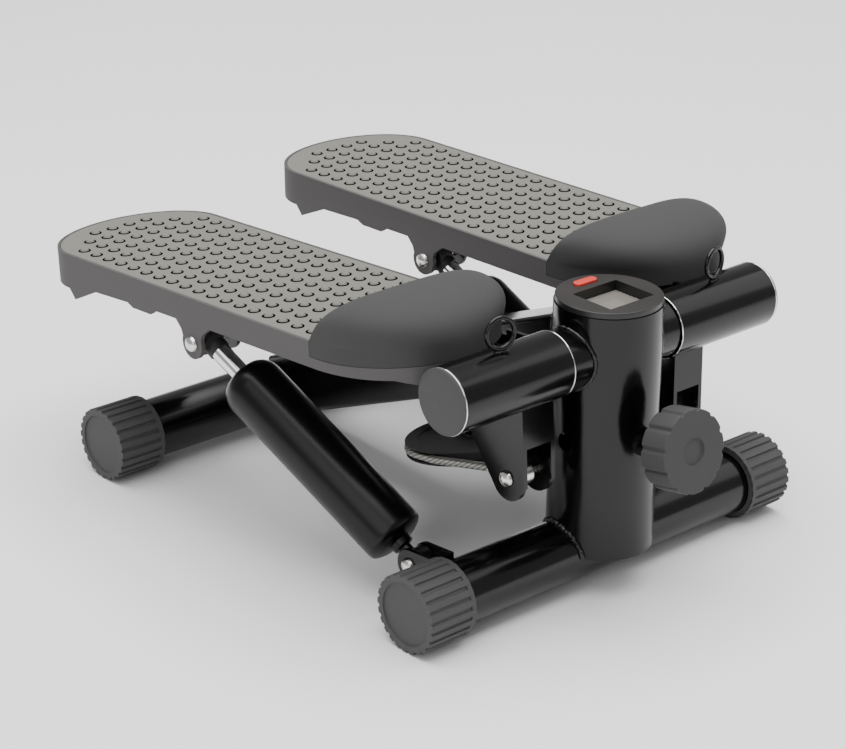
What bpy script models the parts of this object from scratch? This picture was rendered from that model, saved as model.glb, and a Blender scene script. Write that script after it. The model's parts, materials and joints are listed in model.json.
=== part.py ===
"""Mini stepper: two pedals on a cross-tube frame, joined by a cable over a pulley and held up by dampers.

Metres, +Z up, front towards -Y, origin on the floor at the middle of the footprint.
"""

import math

import bmesh
import bpy
from mathutils import Matrix, Vector

GAP = 0.0003
ROUND = 24
SMALL = 12
SIDES = {"right": -1.0, "left": 1.0}

# Frame tubes
TUBE_RADIUS = 0.02103
TUBE_WALL = 0.0015
TUBE_Z = 0.02598
TUBE_HALF = 0.1592
POST_Y = -0.16175
FRONT_TUBE_Y = POST_Y + 0.00474
REAR_TUBE_Y = POST_Y + 0.3283

# End caps
CAP_RIBS = 24
CAP_RIB_HALF = math.radians(4.1)
CAP_RADIUS = TUBE_Z / math.cos(CAP_RIB_HALF)
CAP_GROOVE_RADIUS = 0.0246
CAP_INNER_X = 0.1269
CAP_OUTER_X = 0.1634
CAP_FACE_RADIUS = 0.0208

# Post and main beam
POST_RADIUS = 0.035
POST_WALL = 0.0025
POST_BOTTOM = 0.028
POST_TOP = 0.1936
POST_HOLE_Z = 0.1058
POST_HOLE_RADIUS = 0.006
BEAM_SLOPE = math.radians(22.93)
BEAM_WIDTH = 0.040
BEAM_DEPTH = 0.0448
BEAM_WALL = 0.002
BEAM_TOP_POINT = (POST_Y + 0.0703, 0.1627)
BEAM_START = -0.062
BEAM_END = 0.273

# Axle and sleeves
AXLE_Y = POST_Y + 0.00094
AXLE_Z = 0.16263
AXLE_RADIUS = 0.0175
AXLE_WALL = 0.003
AXLE_HALF = 0.132
COLLAR_RADIUS = 0.020
COLLAR_OUTER_X = 0.0476
SLEEVE_RADIUS = 0.02155
SLEEVE_X = (0.0481, 0.1372)
SLEEVE_CAP_X = 0.1420

# Display and button
HOUSING_RADIUS = 0.0342
HOUSING_TOP = 0.1977
WINDOW_CENTRE = (0.00075, POST_Y - 0.00275)
WINDOW_SIZE = (0.0385, 0.0335)
WINDOW_FLOOR = 0.1890
LENS_TOP = 0.1912
BUTTON_CENTRE = (0.0020, POST_Y + 0.0235)
BUTTON_SIZE = (0.0185, 0.0068)
BUTTON_TOP = 0.1992
BUTTON_BOTTOM = 0.1937
BUTTON_HOLE_FLOOR = 0.1917

# Tension knob and screw
KNOB_TILT = math.radians(10.9)
KNOB_FACE = (0.0, POST_Y - 0.0780, 0.1164)
KNOB_RADIUS = 0.0269
KNOB_DEPTH = 0.020
KNOB_LOBES = 12
SCREW_RADIUS = 0.005
SCREW_START = 0.010
SCREW_LENGTH = 0.132
BOSS_RADIUS = 0.009
BOSS_FACE = 0.0245

# Pulley, yoke and cable
PULLEY_TILT = math.radians(13.0)
PULLEY_CENTRE = (0.0, POST_Y + 0.1113, 0.0603)
PULLEY_RADIUS = 0.0534
PULLEY_HALF = 0.00475
GROOVE_RADIUS = 0.0481
PULLEY_PIN_RADIUS = 0.004
YOKE_HALF_WIDTH = 0.013
YOKE_PLATE = 0.003
YOKE_FRONT = -0.062
YOKE_TOP = 0.027
CABLE_RADIUS = 0.00275
CABLE_WRAP_RADIUS = 0.0515

# Pedals, in each pedal's own frame: X out from the middle, Y along the tread, Z up from the axle
REST_ANGLE = {"right": math.radians(-4.186), "left": math.radians(-1.708)}
PEDAL_X = 0.10085
PEDAL_HALF = 0.0641
HEEL_Y = 0.405
HEEL_DEPTH = 0.0476
TOE_Y = 0.0165
TOE_DEPTH = 0.0720
TOE_POWER = 2.1
TREAD_Z = 0.02348
PAN_PLATE = (0.0185, 0.0215)
PAN_WALL = 0.003
PAN_RIM = 0.002
STEP_Y = 0.0923
REBATE = 0.0027
UPPER_PIN = (0.2155, -0.008)
PIN_RADIUS = 0.003
INNER_LUG_X = (0.1325, 0.1355)

# Toe cup
CUP_FOOT_Y = 0.092
CUP_WALL = 0.0022
CUP_CREST_Y = 0.056
CUP_CREST_HEIGHT = 0.0285
CUP_ARCH_POWER = 3.6
CUP_RIM_Y = 0.078
CUP_SKIRT_Z = (0.0135, 0.0155)
CUP_SKIRT_Y = (0.072, 0.0165)

# Cable bracket and its bolt
BRACKET_PLATES = ((0.055, 0.058), (0.0785, 0.0815))
CABLE_PIN = (0.0071, -0.0685)
CABLE_END_X = 0.068
CABLE_END_LENGTH = 0.0345

# Eye loops
LOOP_X = 0.094
LOOP_Y = -0.0045
LOOP_RADIUS = 0.0097
LOOP_WIRE = 0.00155
LOOP_TURN = math.radians(12.0)

# Dampers
LOWER_EYE_X = {"right": 0.1165, "left": 0.1117}
LOWER_EYE = (POST_Y + 0.0445, 0.031)
UPPER_EYE_X = 0.1515
EYE_WIDTH = 0.0112
DAMPER_RADIUS = 0.02075
DAMPER_TOP = 0.033
ROD_RADIUS = 0.0065
ROD_FOOT = 0.056
BORE_FOOT = 0.030
UPPER_EYE_PLAY = 0.0016
CLEVIS_PLATES = (-0.009, -0.006, 0.006, 0.009)

# Colour, roughness, metallic
BLACK_PAINT = ((0.012, 0.012, 0.012), 0.22, 0.0)
CAP_PLASTIC = ((0.045, 0.045, 0.043), 0.62, 0.0)
PAN_PLASTIC = ((0.058, 0.056, 0.054), 0.60, 0.0)
TREAD_RUBBER = ((0.14, 0.138, 0.122), 0.70, 0.0)
CUP_RUBBER = ((0.030, 0.030, 0.030), 0.48, 0.0)
ZINC = ((0.72, 0.71, 0.68), 0.28, 1.0)
CHROME = ((0.82, 0.82, 0.82), 0.10, 1.0)
CABLE_STEEL = ((0.62, 0.61, 0.57), 0.35, 1.0)
PULLEY_PLASTIC = ((0.014, 0.014, 0.014), 0.40, 0.0)
PLATE_GREY = ((0.115, 0.107, 0.100), 0.50, 0.0)
LENS_GREY = ((0.22, 0.20, 0.18), 0.12, 0.0)
BUTTON_RED = ((0.62, 0.035, 0.020), 0.40, 0.0)

# Local Z runs along the world X axis, local X along Y and local Y along Z
ALONG_X = Matrix(((0, 0, 1, 0), (1, 0, 0, 0), (0, 1, 0, 0), (0, 0, 0, 1)))


# Meshes ---------------------------------------------------------------------------------------

def revolve(profile, steps, place=Matrix()):
    """Turns a closed loop of (radius, height) points about local Z."""
    mesh = bmesh.new()
    rings = []
    for radius, height in profile:
        count = steps if radius > 1e-7 else 1
        turns = [2 * math.pi * i / steps for i in range(count)]
        rings.append([
            mesh.verts.new(place @ Vector((radius * math.cos(a), radius * math.sin(a), height)))
            for a in turns
        ])
    for ring, following in zip(rings, rings[1:] + rings[:1]):
        if len(ring) == 1 and len(following) == 1:
            continue
        for i in range(steps):
            j = (i + 1) % steps
            corners = (
                ring[i % len(ring)],
                ring[j % len(ring)],
                following[j % len(following)],
                following[i % len(following)],
            )
            mesh.faces.new(list(dict.fromkeys(corners)))
    return mesh


def cylinder(radius, low, high, place=Matrix(), steps=ROUND):
    """A plain cylinder about local Z."""
    return revolve([(0, low), (radius, low), (radius, high), (0, high)], steps, place)


def pipe(radius, bore, low, high, place=Matrix(), steps=ROUND):
    """A pipe about local Z."""
    return revolve([(radius, low), (radius, high), (bore, high), (bore, low)], steps, place)


def prism(outline, low, high, place=Matrix()):
    """Pushes a flat outline along local Z."""
    mesh = bmesh.new()
    bottom = [mesh.verts.new(place @ Vector((a, b, low))) for a, b in outline]
    top = [mesh.verts.new(place @ Vector((a, b, high))) for a, b in outline]
    mesh.faces.new(bottom[::-1])
    mesh.faces.new(top)
    for i in range(len(outline)):
        j = (i + 1) % len(outline)
        mesh.faces.new((bottom[i], bottom[j], top[j], top[i]))
    return mesh


def block(low, high):
    """An axis-aligned block between two corners."""
    outline = [(low[0], low[1]), (high[0], low[1]), (high[0], high[1]), (low[0], high[1])]
    return prism(outline, low[2], high[2])


def sweep(points, radius, sides):
    """A round bar along a line of points, with flat ends."""
    mesh = bmesh.new()
    points = [Vector(p) for p in points]
    across = Vector((0, 0, 1))
    rings = []
    for i, point in enumerate(points):
        ahead = (points[min(i + 1, len(points) - 1)] - points[max(i - 1, 0)]).normalized()
        across = (across - ahead * across.dot(ahead)).normalized()
        other = ahead.cross(across)
        rings.append([
            mesh.verts.new(point + radius * (across * math.cos(a) + other * math.sin(a)))
            for a in (2 * math.pi * k / sides for k in range(sides))
        ])
    for ring, following in zip(rings, rings[1:]):
        for i in range(sides):
            j = (i + 1) % sides
            mesh.faces.new((ring[i], ring[j], following[j], following[i]))
    mesh.faces.new(rings[0][::-1])
    mesh.faces.new(rings[-1])
    return mesh


def torus(radius, wire, place, steps=18, sides=6):
    """A closed ring about local Z."""
    profile = [
        (radius + wire * math.cos(2 * math.pi * k / sides), wire * math.sin(2 * math.pi * k / sides))
        for k in range(sides)
    ]
    return revolve(profile, steps, place)


def arc(centre, radius, start, stop, steps):
    """Points on an arc, with angles in degrees."""
    turns = [math.radians(start + (stop - start) * i / steps) for i in range(steps + 1)]
    return [(centre[0] + radius * math.cos(a), centre[1] + radius * math.sin(a)) for a in turns]


def as_object(mesh, name="scratch"):
    """Links a bmesh to the scene as an object."""
    bmesh.ops.recalc_face_normals(mesh, faces=mesh.faces)
    data = bpy.data.meshes.new(name)
    mesh.to_mesh(data)
    mesh.free()
    made = bpy.data.objects.new(name, data)
    bpy.context.collection.objects.link(made)
    return made


def evaluated(made):
    """The mesh of an object with its modifiers applied; the object is removed."""
    bpy.context.view_layer.update()
    data = made.evaluated_get(bpy.context.evaluated_depsgraph_get()).to_mesh()
    mesh = bmesh.new()
    mesh.from_mesh(data)
    bpy.data.objects.remove(made, do_unlink=True)
    return mesh


def combine(mesh, other, operation):
    """One exact boolean between two closed meshes."""
    first = as_object(mesh)
    second = as_object(other)
    modifier = first.modifiers.new("combine", "BOOLEAN")
    modifier.solver = "EXACT"
    modifier.operation = operation
    modifier.object = second
    result = evaluated(first)
    bpy.data.objects.remove(second, do_unlink=True)
    bmesh.ops.remove_doubles(result, verts=result.verts, dist=1e-6)
    return result


def cut(mesh, *others):
    """Takes each of the other meshes away."""
    for other in others:
        mesh = combine(mesh, other, "DIFFERENCE")
    return mesh


def join(mesh, *others):
    """Adds each of the other meshes."""
    for other in others:
        mesh = combine(mesh, other, "UNION")
    return mesh


# Placing --------------------------------------------------------------------------------------

def part(name, mesh, finish, parent=None, side=1.0):
    """Makes the named object with its own material; side -1 mirrors it across the middle."""
    if side < 0:
        bmesh.ops.scale(mesh, vec=(-1, 1, 1), verts=mesh.verts)
    made = as_object(mesh, name)
    material = bpy.data.materials.new(name)
    material.use_nodes = True
    colour, roughness, metallic = finish
    shader = material.node_tree.nodes["Principled BSDF"]
    shader.inputs["Base Color"].default_value = (*colour, 1.0)
    shader.inputs["Roughness"].default_value = roughness
    shader.inputs["Metallic"].default_value = metallic
    made.data.materials.append(material)
    made.parent = parent
    return made


def axis(name, place):
    """An empty that carries the pieces of one moving body."""
    empty = bpy.data.objects.new(name, None)
    bpy.context.collection.objects.link(empty)
    empty.matrix_world = place
    return empty


def x_axis_at(y, z):
    """Places local Z on a line along the world X axis."""
    return Matrix.Translation((0, y, z)) @ ALONG_X


def tilted(point, angle):
    """A frame at a point, tipped forward about X by an angle."""
    return Matrix.Translation(point) @ Matrix.Rotation(-angle, 4, "X")


def knob_frame():
    """Local Z runs from the knob's face back through the post."""
    return Matrix.Translation(KNOB_FACE) @ Matrix.Rotation(-math.pi / 2 - KNOB_TILT, 4, "X")


# Frame ----------------------------------------------------------------------------------------

def make_tubes():
    """Front and rear floor tubes with a ribbed cap on each end."""
    for name, y in (("front", FRONT_TUBE_Y), ("rear", REAR_TUBE_Y)):
        bore = TUBE_RADIUS - TUBE_WALL
        tube = pipe(TUBE_RADIUS, bore, -TUBE_HALF, TUBE_HALF, x_axis_at(y, TUBE_Z))
        part(f"{name}_tube", tube, BLACK_PAINT)
        for side, sign in SIDES.items():
            part(f"{name}_{side}_end_cap", end_cap(y), CAP_PLASTIC, side=sign)


def end_cap(y):
    """One end cap: flat-topped ribs outside, a blind bore for the tube and a sunk face."""
    outline = []
    for i in range(CAP_RIBS):
        middle = -math.pi / 2 + 2 * math.pi * i / CAP_RIBS
        for radius, turn in (
            (CAP_RADIUS, -CAP_RIB_HALF),
            (CAP_RADIUS, CAP_RIB_HALF),
            (CAP_GROOVE_RADIUS, math.radians(5.4)),
            (CAP_GROOVE_RADIUS, math.radians(9.6)),
        ):
            outline.append((radius * math.cos(middle + turn), radius * math.sin(middle + turn)))
    place = x_axis_at(y, TUBE_Z)
    return cut(
        prism(outline, CAP_INNER_X, CAP_OUTER_X, place),
        cylinder(TUBE_RADIUS + GAP, CAP_INNER_X - 0.01, TUBE_HALF + GAP, place),
        cylinder(CAP_FACE_RADIUS, CAP_OUTER_X - 0.0012, CAP_OUTER_X + 0.01, place),
    )


def make_post():
    """Upright post: a pipe saddled over the front tube and drilled for the axle and the screw."""
    upright = Matrix.Translation((0, POST_Y, 0))
    side_hole = cylinder(POST_HOLE_RADIUS, -0.05, -0.02, x_axis_at(POST_Y, POST_HOLE_Z), SMALL)
    post = cut(
        pipe(POST_RADIUS, POST_RADIUS - POST_WALL, POST_BOTTOM, POST_TOP, upright, 32),
        cylinder(TUBE_RADIUS + GAP, -0.06, 0.06, x_axis_at(FRONT_TUBE_Y, TUBE_Z)),
        cylinder(AXLE_RADIUS + GAP, -0.06, 0.06, x_axis_at(AXLE_Y, AXLE_Z)),
        cylinder(SCREW_RADIUS + 0.0004, -0.01, 0.14, knob_frame(), SMALL),
        side_hole,
    )
    part("post", post, BLACK_PAINT)


def make_axle():
    """Axle through the post, with a collar welded to each side of it."""
    line = x_axis_at(AXLE_Y, AXLE_Z)
    part("axle", pipe(AXLE_RADIUS, AXLE_RADIUS - AXLE_WALL, -AXLE_HALF, AXLE_HALF, line), ZINC)
    for side, sign in SIDES.items():
        collar = pipe(COLLAR_RADIUS, AXLE_RADIUS + GAP, 0.020, COLLAR_OUTER_X, line)
        post = cylinder(POST_RADIUS + GAP, 0.1, 0.2, Matrix.Translation((0, POST_Y, 0)), 32)
        part(f"{side}_collar", cut(collar, post), BLACK_PAINT, side=sign)


def make_beam():
    """Sloping box beam from the post to the rear tube, coped at both ends."""
    frame = Matrix.Translation((0, *BEAM_TOP_POINT)) @ Matrix.Rotation(-BEAM_SLOPE, 4, "X")
    half = BEAM_WIDTH / 2
    outside = block((-half, BEAM_START, -BEAM_DEPTH), (half, BEAM_END, 0))
    wall = BEAM_WALL
    inside = block(
        (-half + wall, BEAM_START - 0.01, -BEAM_DEPTH + wall), (half - wall, BEAM_END + 0.01, -wall)
    )
    for mesh in (outside, inside):
        bmesh.ops.transform(mesh, matrix=frame, verts=mesh.verts)
    post = cylinder(POST_RADIUS + GAP, 0.05, 0.25, Matrix.Translation((0, POST_Y, 0)), 32)
    tube = cylinder(TUBE_RADIUS + GAP, -0.06, 0.06, x_axis_at(REAR_TUBE_Y, TUBE_Z))
    part("main_beam", cut(outside, inside, post, tube), BLACK_PAINT)


# Display --------------------------------------------------------------------------------------

def stadium(centre, size, steps=6):
    """A long rounded outline."""
    radius = size[1] / 2
    reach = size[0] / 2 - radius
    right = arc((centre[0] + reach, centre[1]), radius, -90, 90, steps)
    return right + arc((centre[0] - reach, centre[1]), radius, 90, 270, steps)


def make_display():
    """Round display housing in the post's top, its sunk lens and the reset button."""
    upright = Matrix.Translation((0, POST_Y, 0))
    plug = POST_RADIUS - POST_WALL - GAP
    flange = POST_TOP + GAP
    edge = 0.0005
    profile = [
        (0, 0.184),
        (plug, 0.184),
        (plug, flange),
        (HOUSING_RADIUS, flange),
        (HOUSING_RADIUS, HOUSING_TOP - edge),
        (HOUSING_RADIUS - edge, HOUSING_TOP),
        (0, HOUSING_TOP),
    ]
    window_low = [c - s / 2 for c, s in zip(WINDOW_CENTRE, WINDOW_SIZE)]
    window_high = [c + s / 2 for c, s in zip(WINDOW_CENTRE, WINDOW_SIZE)]
    hole_size = [s + 2 * GAP for s in BUTTON_SIZE]
    housing = cut(
        revolve(profile, 36, upright),
        block((*window_low, WINDOW_FLOOR), (*window_high, 0.21)),
        prism(stadium(BUTTON_CENTRE, hole_size), BUTTON_HOLE_FLOOR, 0.21),
    )
    part("display_housing", housing, PLATE_GREY)
    lens = block(
        (window_low[0] + GAP, window_low[1] + GAP, WINDOW_FLOOR + GAP),
        (window_high[0] - GAP, window_high[1] - GAP, LENS_TOP),
    )
    part("display_lens", lens, LENS_GREY)
    seat = axis("reset_button_axis", Matrix.Translation((*BUTTON_CENTRE, BUTTON_TOP)))
    depth = BUTTON_BOTTOM - BUTTON_TOP
    part("reset_button", prism(stadium((0, 0), BUTTON_SIZE), depth, 0), BUTTON_RED, seat)


# Tension knob, pulley and cable ---------------------------------------------------------------

def make_knob():
    """Lobed hand knob on a screw that runs through the post to the pulley yoke."""
    turning = axis("tension_knob_axis", knob_frame())
    outline = []
    for i in range(KNOB_LOBES):
        for share, radius in ((-0.32, 1.0), (0.0, 1.0), (0.32, 1.0), (0.5, 0.945)):
            turn = math.pi / 2 + 2 * math.pi * (i + share) / KNOB_LOBES
            reach = KNOB_RADIUS * radius
            outline.append((reach * math.cos(turn), reach * math.sin(turn)))
    knob = cut(
        prism(outline, 0, KNOB_DEPTH),
        cylinder(0.009, -0.01, 0.0015),
        cylinder(SCREW_RADIUS + GAP, SCREW_START - GAP, KNOB_DEPTH + 0.01, steps=SMALL),
    )
    part("tension_knob", knob, CAP_PLASTIC, turning)
    screw = cylinder(SCREW_RADIUS, SCREW_START, SCREW_START + SCREW_LENGTH, steps=SMALL)
    part("tension_screw", screw, ZINC, turning)
    boss = cut(
        pipe(BOSS_RADIUS, SCREW_RADIUS + 0.0004, BOSS_FACE, 0.060, knob_frame(), 16),
        cylinder(POST_RADIUS + GAP, 0.05, 0.2, Matrix.Translation((0, POST_Y, 0)), 32),
    )
    part("screw_boss", boss, BLACK_PAINT)


def make_pulley():
    """Grooved pulley, the yoke that the screw holds, and the pin through both."""
    frame = tilted(PULLEY_CENTRE, PULLEY_TILT)
    turning = axis("pulley_axis", frame)
    bore = PULLEY_PIN_RADIUS + GAP
    profile = [
        (bore, -PULLEY_HALF),
        (PULLEY_RADIUS, -PULLEY_HALF),
        (PULLEY_RADIUS, -0.0036),
        (GROOVE_RADIUS, -0.00305),
        (GROOVE_RADIUS, 0.00305),
        (PULLEY_RADIUS, 0.0036),
        (PULLEY_RADIUS, PULLEY_HALF),
        (bore, PULLEY_HALF),
    ]
    part("pulley", revolve(profile, 36), PULLEY_PLASTIC, turning)
    inner = PULLEY_HALF + 0.0006
    outer = inner + YOKE_PLATE
    yoke = cut(
        join(
            block((-YOKE_HALF_WIDTH, YOKE_FRONT, -outer), (YOKE_HALF_WIDTH, 0.012, outer)),
            block((-YOKE_HALF_WIDTH, YOKE_FRONT, 0), (YOKE_HALF_WIDTH, YOKE_FRONT + YOKE_PLATE, YOKE_TOP)),
        ),
        block((-0.03, YOKE_FRONT + YOKE_PLATE, -inner), (0.03, 0.03, inner)),
        cylinder(bore, -0.02, 0.02, steps=SMALL),
    )
    bmesh.ops.transform(yoke, matrix=frame, verts=yoke.verts)
    screw_path = cylinder(SCREW_RADIUS + 0.0004, 0.08, 0.16, knob_frame(), SMALL)
    part("pulley_yoke", cut(yoke, screw_path), BLACK_PAINT)
    seat = outer + GAP
    head = [
        (0, -seat - 0.004),
        (0.007, -seat - 0.004),
        (0.007, -seat),
        (PULLEY_PIN_RADIUS, -seat),
        (PULLEY_PIN_RADIUS, seat),
        (0.007, seat),
        (0.007, seat + 0.004),
        (0, seat + 0.004),
    ]
    part("pulley_pin", revolve(head, SMALL, frame), ZINC)


def pedal_frame(side):
    """A pedal's own frame on the axle, at its rest angle."""
    return Matrix.Translation((0, AXLE_Y, AXLE_Z)) @ Matrix.Rotation(REST_ANGLE[side], 4, "X")


def twin(mesh, side):
    """The two pedals are the same hand, so the left one's off-centre pieces swap about its middle."""
    if SIDES[side] > 0:
        bmesh.ops.scale(mesh, vec=(-1, 1, 1), verts=mesh.verts)
        bmesh.ops.translate(mesh, vec=(2 * PEDAL_X, 0, 0), verts=mesh.verts)
        bmesh.ops.reverse_faces(mesh, faces=mesh.faces)
    return mesh


def cable_anchor(side):
    """World points of the cable bolt and of the free end of the fitting on it."""
    pin = pedal_frame(side) @ Vector((SIDES[side] * CABLE_END_X, *CABLE_PIN))
    tangent = tilted(PULLEY_CENTRE, PULLEY_TILT) @ Vector((SIDES[side] * CABLE_WRAP_RADIUS, 0, 0))
    return pin, pin + (tangent - pin).normalized() * CABLE_END_LENGTH


def cable_run(side):
    """Points from a cable fitting to where the cable meets the pulley, and that meeting angle."""
    frame = tilted(PULLEY_CENTRE, PULLEY_TILT)
    pin, end = cable_anchor(side)
    local = frame.inverted() @ end
    reach = math.hypot(local.x, local.y)
    turn = math.atan2(local.y, abs(local.x)) + math.acos(CABLE_WRAP_RADIUS / reach)
    touch = Vector((math.cos(turn), math.sin(turn), 0)) * CABLE_WRAP_RADIUS
    lead = touch + Vector((math.sin(turn), -math.cos(turn), 0)) * 0.018
    start = end + (end - pin).normalized() * GAP
    mirrored = Matrix.Diagonal((SIDES[side], 1, 1, 1))
    return [start, frame @ (mirrored @ lead)], turn


def make_cable():
    """The whole cable: in from one pedal, round the back of the pulley and out to the other."""
    frame = tilted(PULLEY_CENTRE, PULLEY_TILT)
    left, left_turn = cable_run("left")
    right, right_turn = cable_run("right")
    last = math.pi - right_turn
    steps = 14
    wrap = []
    for i in range(steps + 1):
        turn = left_turn + (last - left_turn) * i / steps
        wrap.append(frame @ (Vector((math.cos(turn), math.sin(turn), 0)) * CABLE_WRAP_RADIUS))
    part("cable", sweep(left + wrap + right[::-1], CABLE_RADIUS, 8), CABLE_STEEL)


# Pedals ---------------------------------------------------------------------------------------

def pedal_outline(inset, toe_inset=None, steps=16):
    """Plan outline of a pedal, moved in by an inset, with a larger one ahead of the step."""
    toe_inset = inset if toe_inset is None else toe_inset
    points = []
    half = PEDAL_HALF - toe_inset
    depth = TOE_DEPTH - toe_inset
    centre = TOE_Y + TOE_DEPTH
    for i in range(steps + 1):
        turn = math.pi * i / steps
        along = abs(math.cos(turn)) ** (2 / TOE_POWER) * (1 if turn < math.pi / 2 else -1)
        points.append((PEDAL_X - half * along, centre - depth * math.sin(turn) ** (2 / TOE_POWER)))
    half_heel = PEDAL_HALF - inset
    if toe_inset > inset:
        step = STEP_Y + toe_inset - REBATE
        points += [(PEDAL_X + half, step), (PEDAL_X + half_heel, step)]
    centre = HEEL_Y - HEEL_DEPTH
    for i in range(steps + 1):
        turn = math.pi * i / steps
        points.append((
            PEDAL_X + half_heel * math.cos(turn), centre + (HEEL_DEPTH - inset) * math.sin(turn)
        ))
    if toe_inset > inset:
        points += [(PEDAL_X - half_heel, step), (PEDAL_X - half, step)]
    return points


def underside(lug):
    """Side outline of what lies under the skirt's bottom edge, with the lug left standing."""
    edge = [(-0.05, 0.0185), (0.0118, 0.0185), (0.0118, -0.0038), (0.020, 0.001), (0.035, 0.0065)]
    if lug:
        edge += [(0.196, 0.0062), (0.2042, 0.0)]
        edge += arc(UPPER_PIN, 0.0105, 158, 382, 12)
        edge += [(0.2268, 0.0), (0.232, 0.0057)]
    edge += [(0.255, 0.0055), (0.261, 0.0018), (0.281, 0.0018), (0.287, 0.0044), (0.325, 0.003)]
    edge += [(0.351, -0.008), (0.357, -0.001), (0.45, -0.0005)]
    return edge + [(0.45, -0.05), (-0.05, -0.05)]


def skirt_line():
    """Side outline of the band of the pan's wall that the toe cup wraps, and all above it."""
    low, high = CUP_SKIRT_Z
    rear, front = CUP_SKIRT_Y
    edge = [(-0.05, high - GAP), (front, high - GAP), (rear, low - GAP), (STEP_Y, low - GAP)]
    return edge + [(STEP_Y, 0.05), (-0.05, 0.05)]


def cup_band():
    """The band of the pedal's edge that the toe cup wraps."""
    outside, inside = PEDAL_X + PEDAL_HALF, PEDAL_X - PEDAL_HALF
    return combine(
        cut(prism(pedal_outline(-0.003), -0.03, 0.05), prism(pedal_outline(REBATE), -0.04, 0.06)),
        prism(skirt_line(), inside - 0.01, outside + 0.01, ALONG_X),
        "INTERSECT",
    )


def make_pan(side, parent):
    """Pedal pan: a plate with a skirt, a pocket for the tread and the damper's outer lug."""
    outside, inside = PEDAL_X + PEDAL_HALF, PEDAL_X - PEDAL_HALF
    pin_line = Matrix.Translation((0, *UPPER_PIN)) @ ALONG_X
    bracket_low, bracket_high = BRACKET_PLATES[0][0] - 0.0015, BRACKET_PLATES[1][1] + 0.0015
    pan = cut(
        prism(pedal_outline(0), -0.03, TREAD_Z),
        prism(pedal_outline(PAN_WALL, PAN_WALL + REBATE), -0.04, PAN_PLATE[0]),
        prism(pedal_outline(PAN_RIM, REBATE + 0.0017), PAN_PLATE[1], 0.04),
        cup_band(),
        twin(prism(underside(True), outside - 0.006, outside + 0.01, ALONG_X), side),
        twin(prism(underside(False), inside - 0.01, outside - 0.0059, ALONG_X), side),
        cylinder(SLEEVE_RADIUS + GAP, 0.030, SLEEVE_CAP_X + 0.0006, ALONG_X),
        twin(cylinder(PIN_RADIUS + GAP, 0.150, 0.170, pin_line, SMALL), side),
        block((bracket_low, -0.02, -0.03), (bracket_high, 0.058, PAN_PLATE[0])),
    )
    part(f"{side}_pedal_pan", pan, PAN_PLASTIC, parent, SIDES[side])
    tread_edge = pedal_outline(PAN_RIM + GAP, REBATE + 0.0017 + GAP)
    tread = cut(
        prism(tread_edge, PAN_PLATE[1] + GAP, TREAD_Z),
        cylinder(SLEEVE_RADIUS + GAP, 0.030, SLEEVE_CAP_X + 0.0006, ALONG_X),
    )
    part(f"{side}_tread", tread, TREAD_RUBBER, parent, SIDES[side])


def make_toe_cup(side, parent, sections=7, steps=16):
    """Toe cup: a fan of arched sections from the rim down to the toe, with a skirt below."""
    mesh = bmesh.new()
    front = TOE_Y + TOE_DEPTH
    rim_turn = -math.asin((CUP_RIM_Y - CUP_CREST_Y) / (CUP_CREST_Y - TOE_Y))
    grid = []
    for i in range(sections + 1):
        share = i / sections
        climb = rim_turn + (math.pi / 2 - rim_turn) * share
        foot = CUP_FOOT_Y + (front - CUP_FOOT_Y) * share
        crest = CUP_CREST_Y - (CUP_CREST_Y - TOE_Y) * math.sin(climb)
        height = CUP_CREST_HEIGHT * max(math.cos(climb), 0.0) ** 0.75
        power = CUP_ARCH_POWER + (TOE_POWER - CUP_ARCH_POWER) * share ** 2
        row = []
        for j in range(steps + 1):
            turn = math.pi * j / steps
            along = abs(math.cos(turn)) ** (2 / power) * (1 if turn < math.pi / 2 else -1)
            rise = max(math.sin(turn), 0.0) ** (2 / power)
            row.append(mesh.verts.new((
                PEDAL_X - PEDAL_HALF * along,
                foot + (crest - foot) * rise,
                TREAD_Z + height * rise,
            )))
        grid.append(row)
    for row, following in zip(grid, grid[1:]):
        for j in range(steps):
            mesh.faces.new((row[j], row[j + 1], following[j + 1], following[j]))
    edge = [row[0] for row in grid[:-1]] + grid[-1] + [row[-1] for row in grid[-2::-1]]
    low, high = CUP_SKIRT_Z
    rear, ahead = CUP_SKIRT_Y
    hem = []
    for vert in edge:
        share = min(max((rear - vert.co.y) / (rear - ahead), 0.0), 1.0)
        hem.append(mesh.verts.new((vert.co.x, vert.co.y, low + (high - low) * share)))
    for i in range(len(edge) - 1):
        mesh.faces.new((edge[i], edge[i + 1], hem[i + 1], hem[i]))
    bmesh.ops.recalc_face_normals(mesh, faces=mesh.faces)
    middle = min(mesh.faces, key=lambda face: abs(face.calc_center_median().x - PEDAL_X))
    if middle.normal.z < 0:
        bmesh.ops.reverse_faces(mesh, faces=mesh.faces)
    data = bpy.data.meshes.new("scratch")
    mesh.to_mesh(data)
    mesh.free()
    shell = bpy.data.objects.new("scratch", data)
    bpy.context.collection.objects.link(shell)
    solidify = shell.modifiers.new("wall", "SOLIDIFY")
    solidify.thickness = CUP_WALL
    solidify.offset = -1.0
    solidify.use_even_offset = True
    part(f"{side}_toe_cup", evaluated(shell), CUP_RUBBER, parent, SIDES[side])


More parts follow.
